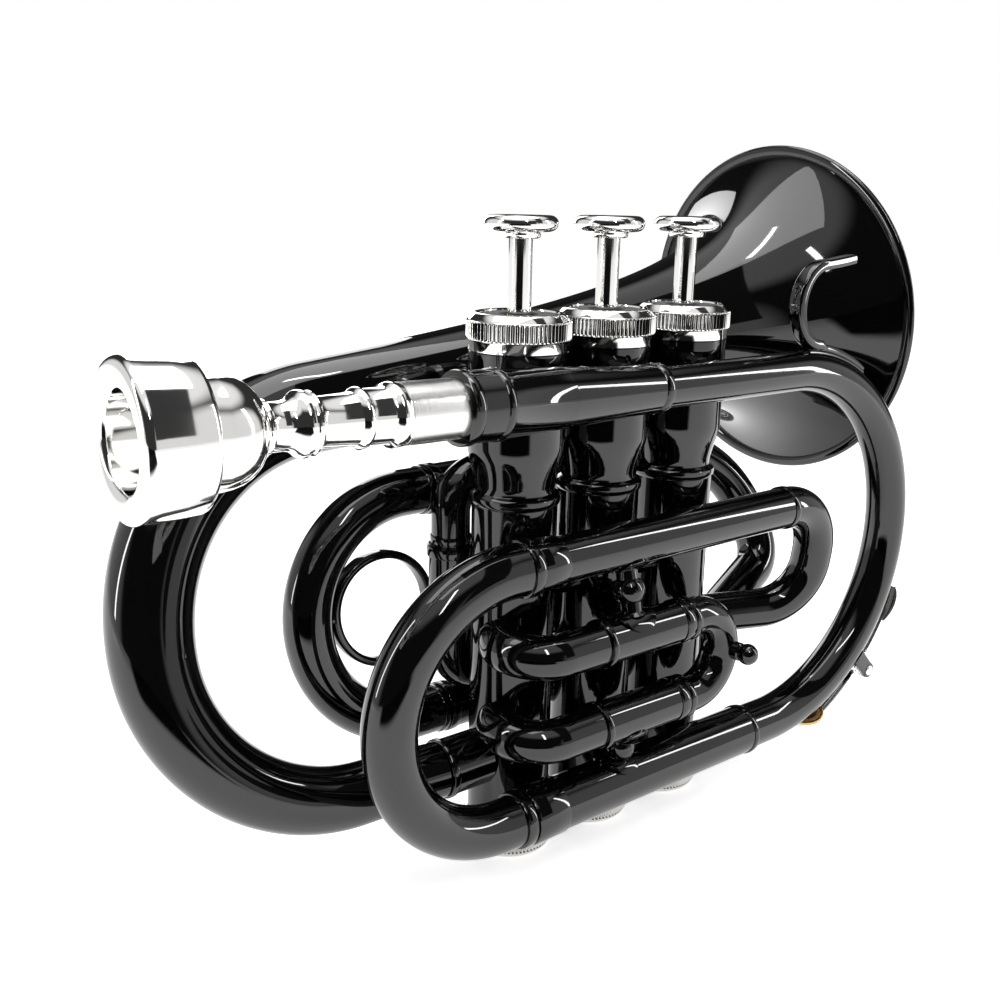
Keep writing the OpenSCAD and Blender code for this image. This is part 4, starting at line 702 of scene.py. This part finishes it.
knob_ball = [(max(0.0, knob_r * math.cos(a)), 8.0 + knob_r * math.sin(a))
             for a in np.linspace(math.radians(-38), math.radians(90), 16)]
knob_place = placed((first_right, first_y, 44.95), (math.cos(knob_turn), math.sin(knob_turn), 0.0),
                    upright)
piece("first_knob_turned",
      [turned([(0.0, 4.2), (2.25, 4.2), (2.25, 5.9), (1.95, 6.2)] + knob_ball, knob_place, 48)],
      lacquer, "first_slide", ["first_slide_knob"])

# Second slide: two upright sleeves between the first and second casings on the player's left,
# with a small bow that lifts out. They are made as those of the first slide.
second_y, rear_leg, front_leg, second_mouth = 15.2, -32.2, -15.4, 72.5
second_foot, second_head, second_bend = 61.0, 88.4, 8.4
front_port, rear_port = 52.0, 39.5
front_sleeve = route([(front_leg, second_y, second_mouth), (front_leg, second_y, front_port),
                      (-6.3, 6.15, front_port)], (7.5,), 28)
rear_sleeve = route([(rear_leg, second_y, second_mouth), (rear_leg, second_y, rear_port),
                     (-13.0, second_y, rear_port), (-5.8, 6.7, rear_port)], (7.5, 7.5), 28)
piece("second_sleeve_tubes",
      [swept(tube, sleeve_r, sleeve_bore, 56) for tube in (front_sleeve, rear_sleeve)]
      + [collar((x, second_y, second_mouth), upright, 5.05, 5.65, -2.9, -0.1)
         for x in (front_leg, rear_leg)],
      lacquer, "horn", ["second_slide_sleeves"])
second_path = route([(rear_leg, second_y, second_foot), (rear_leg, second_y, second_head),
                     (front_leg, second_y, second_head), (front_leg, second_y, second_foot)],
                    (second_bend, second_bend), 32)
piece("second_bow_tube",
      [swept(second_path, inner_leg_r, inner_bore_r, 56)]
      + [collar((x, second_y, 72.8), upright, 4.55, 4.85, 0.0, 2.0)
         for x in (rear_leg, front_leg)],
      lacquer, "second_slide", ["second_slide_bow"])

# Third slide: a long slide on the player's left, in a leaning plane, with a finger ring inside
# its bow. Its sleeves lead to the third casing, the upper one by way of a front bow. All of it
# is drawn brass, bent, soldered and lacquered, and the ring is a soldered band.
third_top, third_low = np.array((26.0, 83.1)), np.array((19.1, 28.9))
third_bend = round(float(np.linalg.norm(third_top - third_low)) * 50) / 100
slide_up = (np.array((0.0, *(third_top - third_low)))
            / np.linalg.norm(third_top - third_low))


def on_slide(x, height):
    """A point of the third slide's leaning plane, at a height from its lower leg."""
    return np.array((x, third_low[0], third_low[1])) + slide_up * height


third_face, third_rear, third_mouth = -32.8, -66.2, -32.5
third_bow_r, third_leg_r, third_leg_bore = 5.6, 5.35, 4.9
third_sleeve_r, third_sleeve_bore, third_ferrule = 5.85, 5.4, (5.8, 6.2, 0.0, 2.6)
leg_heights = (0.0, 2 * third_bend)
third_path = route([on_slide(third_face, 0), on_slide(third_rear, 0),
                    on_slide(third_rear, 2 * third_bend), on_slide(third_face, 2 * third_bend)],
                   (third_bend, third_bend), 48)
third_grids = [swept(third_path, third_bow_r, third_leg_bore, 64)]
for height in leg_heights:
    leg = straight(on_slide(third_face, height), on_slide(6.0, height))
    third_grids.append(swept(leg, third_leg_r, third_leg_bore, 56))
    third_grids.append(collar(on_slide(third_face, height), forward_x, 5.55, 5.95, -1.6, 0.0))
piece("third_bow_tube", third_grids, lacquer, "third_slide", ["third_slide_bow"])
ring_r, ring_band, ring_half = 13.8, 2.0, 2.0
ring_inner = ring_r - ring_band
ring_up = (57.0 - third_low[1]) / slide_up[2]
ring_x = third_rear + third_bow_r + 0.2 + ring_r
ring_axis = np.cross(forward_x, slide_up)
band_profile = [
    (ring_inner + 0.35, -ring_half), (ring_r - 0.5, -ring_half), (ring_r - 0.12, -1.7),
    (ring_r, -1.2), (ring_r, 1.2), (ring_r - 0.12, 1.7), (ring_r - 0.5, ring_half),
    (ring_inner + 0.35, ring_half), (ring_inner + 0.08, 1.7), (ring_inner, 1.2),
    (ring_inner, -1.2), (ring_inner + 0.08, -1.7)]
piece("third_finger_ring_band",
      [turned(band_profile, placed(on_slide(ring_x, ring_up), ring_axis), 112),
       swept(straight(on_slide(-61.5, ring_up), on_slide(ring_x - 12.9, ring_up)), 1.8)],
      lacquer, "third_slide", ["third_slide_finger_ring"], sharp=50.0)
upper_end = (42.0, *third_top)
piece("third_upper_sleeve_tube",
      [swept(straight((third_mouth, *third_top), upper_end), third_sleeve_r,
             third_sleeve_bore, 64),
       collar((third_mouth, *third_top), forward_x, *third_ferrule)],
      lacquer, "horn", ["third_slide_upper_sleeve"])
lower_path = route([(third_mouth, *third_low), (valve_x[2], *third_low),
                    (valve_x[2], 8.2, third_low[1])], (8.2,), 28)
piece("third_lower_sleeve_tube",
      [swept(lower_path, third_sleeve_r, third_sleeve_bore, 64),
       collar((third_mouth, *third_low), forward_x, *third_ferrule)],
      lacquer, "horn", ["third_slide_lower_sleeve"])
third_front_path = route([upper_end, (77.6, *third_top), (77.8, 11.6, 48.7),
                          (33.5, 1.8, 30.6)], (31.1, 9.3), 40)
piece("third_front_bow_tube", [swept(third_front_path, third_bow_r, 5.15, 64)], lacquer,
      "horn", ["third_slide_front_bow"])

# Finger hook: a brass bar bent to an open half round, with a tapered foot that is soldered on
# the front bow over a thin saddle.
hook_centre = np.array((56.3, plane_y, 126.8))
hook_reach, hook_rise, hook_width = 9.0, 9.8, 3.9
bow_top_r = bow_radius + 5.1


def bow_arc(distance, start, stop):
    """Points round the front bow's centre at one distance, between two angles in degrees."""
    a = np.radians(np.linspace(start, stop, 24))
    return np.column_stack([bow_x + distance * np.cos(a), plane_y + 0 * a,
                            bow_z + distance * np.sin(a)])


def strip(line, width, thick, columns=20, sag=0.0):
    """Grid of a flat strip along a line in an upright plane, with rounded edges.

    Ring point at angle a: half the width times sign(cos a) |cos a|^0.35 sideways, and half the
    thickness times sign(sin a) |sin a|^0.5 outwards, less the sag times the square of the way
    from the middle to the edge.
    """
    thick = np.broadcast_to(np.asarray(thick, float), len(line))[:, None]
    width = np.broadcast_to(np.asarray(width, float), len(line))[:, None]
    step = np.gradient(line, axis=0)
    step /= np.linalg.norm(step, axis=1)[:, None]
    out = np.cross(step, (0.0, 1.0, 0.0))
    angle = np.linspace(0.0, 2.0 * math.pi, columns, endpoint=False)
    y = width / 2 * np.sign(np.cos(angle)) * np.abs(np.cos(angle)) ** 0.35
    n = (thick / 2 * np.sign(np.sin(angle)) * np.abs(np.sin(angle)) ** 0.5
         - sag * (y / (width / 2)) ** 2)
    rings = (line[:, None] + out[:, None] * n[:, :, None]
             + np.array((0.0, 1.0, 0.0)) * y[:, :, None])
    start, stop = rings[:1].mean(1, keepdims=True), rings[-1:].mean(1, keepdims=True)
    return np.concatenate([np.repeat(start, columns, 1), rings, np.repeat(stop, columns, 1)])


hook_turn = np.radians(np.linspace(270.0, 90.0, 56))
hook_line = np.concatenate([
    bow_arc(bow_top_r + 0.9, 79.5, 60.2)[::-1],
    hook_centre + np.column_stack([hook_reach * np.cos(hook_turn), 0 * hook_turn,
                                   hook_rise * np.sin(hook_turn)]),
    hook_centre + np.array([(3.5, 0.0, 10.1), (7.0, 0.0, 10.5), (9.9, 0.0, 10.9),
                            (10.2, 0.0, 10.95)])])
hook_thick = np.interp(np.arange(len(hook_line)), (0, 4, 16, 30, 56, len(hook_line) - 1),
                       (1.1, 1.7, 2.2, 2.7, 3.0, 2.4))
piece("finger_hook_strip",
      [strip(hook_line, hook_width, hook_thick, 28),
       strip(bow_arc(bow_top_r + 0.45, 87.2, 60.6), 5.2, 0.9, sag=0.7)],
      lacquer, "horn", ["finger_hook"], sharp=40.0)

# Braces: turned balls on short posts with saddle feet between the tubes on the right, and
# plain rods with flanges to the bell and the third slide, all soldered and lacquered.
brace_x, ball_most, saddle_reach, saddle_thick = -6.5, 3.7, 5.6, 0.75


def saddle(x, y, z, tube, side):
    """Grid of a round foot wrapped on a tube along X, on its side at +1 above or -1 below.

    A point at b across the foot lies at the angle b / tube round the tube. The foot thins by
    0.35 times the fourth power of the way from its middle to its edge.
    """
    u = np.linspace(0.0, 1.0, 8)[:, None]
    angle = np.linspace(0.0, 2.0 * math.pi, 40, endpoint=False)[None, :]
    a, b = saddle_reach * u * np.cos(angle), saddle_reach * u * np.sin(angle)
    swing = b / tube
    outer = tube + saddle_thick * (1.0 - 0.35 * u ** 4)
    faces = [np.stack([x + a, y + r * np.sin(swing), z + side * r * np.cos(swing)], -1)
             for r in (outer, tube + 0 * u)]
    return np.concatenate([faces[0], faces[1][::-1]])


brace_grids = []
for (y_high, z_high, r_high), (y_low, z_low, r_low) in (
        ((plane_y, return_z, return_r), (first_y, first_upper, sleeve_r)),
        ((first_y, first_lower, sleeve_r), (plane_y, low_z, low_r))):
    head = np.array((brace_x, y_high, z_high - r_high + 0.2))
    foot = np.array((brace_x, y_low, z_low + r_low - 0.2))
    half = np.linalg.norm(head - foot) / 2
    ball_r = min(ball_most, half - 0.4)
    ball = [(ball_r * math.cos(a), ball_r * math.sin(a))
            for a in np.linspace(math.radians(-47), math.radians(47), 20)]
    post = ([(0.0, -half), (3.3, -half), (2.9, -half + 0.4), (2.5, -half + 0.8)] + ball
            + [(2.5, half - 0.8), (2.9, half - 0.4), (3.3, half), (0.0, half)])
    brace_grids += [turned(post, placed((head + foot) / 2, head - foot), 40),
                    saddle(brace_x, y_high, z_high, r_high, -1),
                    saddle(brace_x, y_low, z_low, r_low, 1)]
piece("ball_brace_pair", brace_grids, lacquer, "horn", ["ball_braces"],
      sharp=40.0)
rod_r, sideways_y, flange = 1.9, (0.0, 1.0, 0.0), (1.6, 4.2, -0.6, 1.1)
brace_rods = []
for x in (valve_x[0], valve_x[2]):
    z = bell_rim[2] + (x - bell_rim[0]) * math.tan(bell_pitch)
    near = bell_rim[1] - float(bell_radius(np.array(bell_rim[0] - x))) + 0.4
    brace_rods += [swept(straight((x, 10.6, z), (x, near, z)), rod_r, 0.0, 32),
                   collar((x, 10.7, z), sideways_y, *flange)]
piece("bell_brace_rods", brace_rods, lacquer, "horn", ["bell_braces"])
third_brace_z = 79.0
piece("third_brace_rod",
      [swept(straight((valve_x[2], 9.4, third_brace_z), (valve_x[2], 22.6, third_brace_z)),
             rod_r, 0.0, 32),
       collar((valve_x[2], 9.4, third_brace_z), sideways_y, *flange)],
      lacquer, "horn", ["third_slide_brace"])

# Water key: a plated brass lever on a pin between two soldered ears, closed by a pair of small
# coils. Its cup holds a cork against the nipple under the front bow, in a brass ring.
# cork looks warm brown and dull, mottled by grain about 0.5 mm across
cork, bark, bark_place = new_finish("natural cork")
grain = add_node(bark, "ShaderNodeTexVoronoi", {"Vector": bark_place, "Scale": 2000.0})
grain_tone = add_node(bark, "ShaderNodeValToRGB", {"Fac": grain.outputs["Distance"]})
grain_tone.color_ramp.elements[0].color = linear("#7c5230")
grain_tone.color_ramp.elements[1].color = linear("#c99f6b")
pores = add_node(bark, "ShaderNodeBump", {
    "Height": grain.outputs["Distance"], "Strength": 0.4, "Distance": 0.0002})
soft_bark = add_node(bark, "ShaderNodeBsdfPrincipled", {
    "Base Color": grain_tone.outputs[0], "Roughness": 0.85, "Normal": pores.outputs[0]})
add_node(bark, "ShaderNodeOutputMaterial", {"Surface": soft_bark.outputs[0]})

# bare brass looks pale gold, with soft highlights that tarnish makes uneven in 2 mm spots
brass = metal("bare yellow brass", "#cfae6a", 500.0, 4.0, (0.0, 1.0), (0.16, 0.34))


def round_bow(angle, distance, side=0.0):
    """A point at an angle and a distance round the front bow's centre, offset to the right."""
    a = math.radians(angle)
    return np.array((bow_x + distance * math.cos(a), plane_y - side,
                     bow_z + distance * math.sin(a)))


cup_angle, pivot_angle, pin_distance, cup_seat = -68.5, -46.0, 57.0, 54.4
ear_side, ear_half, pin_half, pin_r = 4.7, 0.6, 5.3, 0.9
outward = round_bow(cup_angle, 1.0) - round_bow(cup_angle, 0.0)
pin_centre = round_bow(pivot_angle, pin_distance)
ears = []
for side in (-ear_side, ear_side):
    ears.append(collar(pin_centre + np.array((0.0, -side, 0.0)), sideways_y, pin_r, 2.25,
                       -ear_half, ear_half, 48, 0.3))
    ear_line = [round_bow(pivot_angle, d, side) for d in (49.6, 51.0, 52.5, 54.5, 56.6)]
    ears.append(strip(np.array(ear_line), 1.1, 4.3, 32))
nipple_profile = [(1.5, 4.9), (3.3, 4.9), (3.2, 5.9), (2.75, 6.5), (2.6, 7.4), (1.5, 7.4)]
nipple = turned(nipple_profile, placed(round_bow(cup_angle, bow_radius), outward), 48)
piece("water_key_ears", ears + [nipple], lacquer, "horn", ["water_key_saddle"])
pin_place = placed(pin_centre, sideways_y)
piece("water_key_pivot",
      [turned([(0.0, -pin_half), (pin_r, -pin_half), (pin_r, pin_half), (0.0, pin_half)],
              pin_place, 32),
       turned([(0.0, -5.8), (0.9, -5.75), (1.35, -5.5), (1.4, -pin_half), (0.0, -pin_half)],
              pin_place, 32)],
      silver, "horn", ["water_key_pin"])
arm_line = np.array([round_bow(a, pin_distance + 1.05)
                     for a in np.linspace(cup_angle - 2.0, -27.0, 48)])
thumb_line = np.array([round_bow(a, pin_distance + 1.25) for a in np.linspace(-30.5, -20.2, 20)])
thumb_width = 6.0 * np.sin(np.radians(np.linspace(25.0, 155.0, 20))) ** 0.6
cup_place = placed(round_bow(cup_angle, cup_seat), outward)
boss_profile = [(0.95, -3.8), (1.9, -3.8), (1.9, 3.8), (0.95, 3.8)]
key_cup_profile = [(0.0, 1.5), (3.7, 1.5), (3.7, 0.9), (4.2, 0.9), (4.3, 1.1), (4.3, 2.6),
                   (4.15, 3.1), (3.6, 3.45), (2.2, 3.6), (0.0, 3.62)]
piece("water_key_arm",
      [strip(arm_line, 2.4, 1.3, 16), strip(thumb_line, thumb_width, 1.1, 24),
       turned(boss_profile, pin_place, 40), turned(key_cup_profile, cup_place, 56)],
      silver, "water_key", ["water_key_lever"], sharp=40.0)
cork_profile = [(0.0, 0.02), (3.3, 0.02), (3.55, 0.25), (3.65, 1.45), (0.0, 1.45)]
piece("water_key_cork_pad", [turned(cork_profile, cup_place, 48)], cork, "water_key",
      ["water_key_cork"])
seat_profile = [(3.72, 0.02), (3.95, -0.02), (4.25, 0.1), (4.35, 0.3), (4.35, 0.7),
                (4.2, 0.88), (3.72, 0.88)]
piece("water_key_seat_ring", [turned(seat_profile, cup_place, 56)], brass, "water_key")
curl_turn, curl_r, curl_pitch, curl_wire = np.linspace(0.0, 4.0 * math.pi, 97), 2.5, 0.95, 0.3
curls = []
for side in (-1.0, 1.0):
    along_pin = side * (1.7 + curl_pitch * curl_turn / (2 * math.pi))
    curl = pin_centre + np.column_stack([curl_r * np.cos(curl_turn), along_pin,
                                         curl_r * np.sin(curl_turn)])
    curls.append(swept(curl, curl_wire, 0.0, 12))
piece("water_key_coils", curls, silver, "horn", ["water_key_spring"])

# Inside the valves: lapped pistons, moulded guides and stem felts stay as the frame has them,
# with their own finishes. Each spring is a coil of round wire that stands on its guide.
# the lapped alloy looks a warm grey satin without marks, hazy in patches 3.3 mm across
alloy = metal("lapped nickel alloy", "#c3c0ba", 300.0, 3.0, (0.0, 1.0), (0.18, 0.30))
# moulded nylon looks a waxy off-white, faintly cloudy in patches 1.25 mm across
nylon, moulded, moulded_place = new_finish("moulded white nylon")
cloud = add_node(moulded, "ShaderNodeTexNoise", {"Vector": moulded_place, "Scale": 800.0})
cloud_range = add_node(moulded, "ShaderNodeMapRange", {
    "Value": cloud.outputs["Fac"], "To Min": 0.35, "To Max": 0.5})
waxy = add_node(moulded, "ShaderNodeBsdfPrincipled", {
    "Base Color": linear("#e9e5da"), "Roughness": cloud_range.outputs[0]})
add_node(moulded, "ShaderNodeOutputMaterial", {"Surface": waxy.outputs[0]})
inside = {"valve_guides": nylon}
spring_turns, wire_r, valve_travel = 7.5, 0.5, 15.6
climb = np.linspace(0.0, 1.0, 241)
wind = 2.0 * math.pi * spring_turns * climb
for i, x in enumerate(valve_x, 1):
    # the coil fills the height between guide and end plate
    foot, head = (np.array(corner) * 1000.0 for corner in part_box(f"valve_{i}_spring"))
    height = head[2] - foot[2]
    coil_r = (head[0] - foot[0]) / 2 - wire_r
    rise = foot[2] + wire_r + (height - 2 * wire_r) * climb
    coil_line = np.column_stack([x + coil_r * np.cos(wind), coil_r * np.sin(wind), rise])
    coil = piece(f"valve_{i}_spring_coil", [swept(coil_line, wire_r, 0.0, 12)], alloy, "horn",
                 [f"valve_{i}_spring"])
    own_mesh(coil)
    inside[f"valve_{i}_piston"] = alloy
    inside[f"valve_{i}_stem_felt"] = felt
for name, finish in inside.items():
    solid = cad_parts[name]
    solid.data.materials.clear()
    solid.data.materials.append(finish)
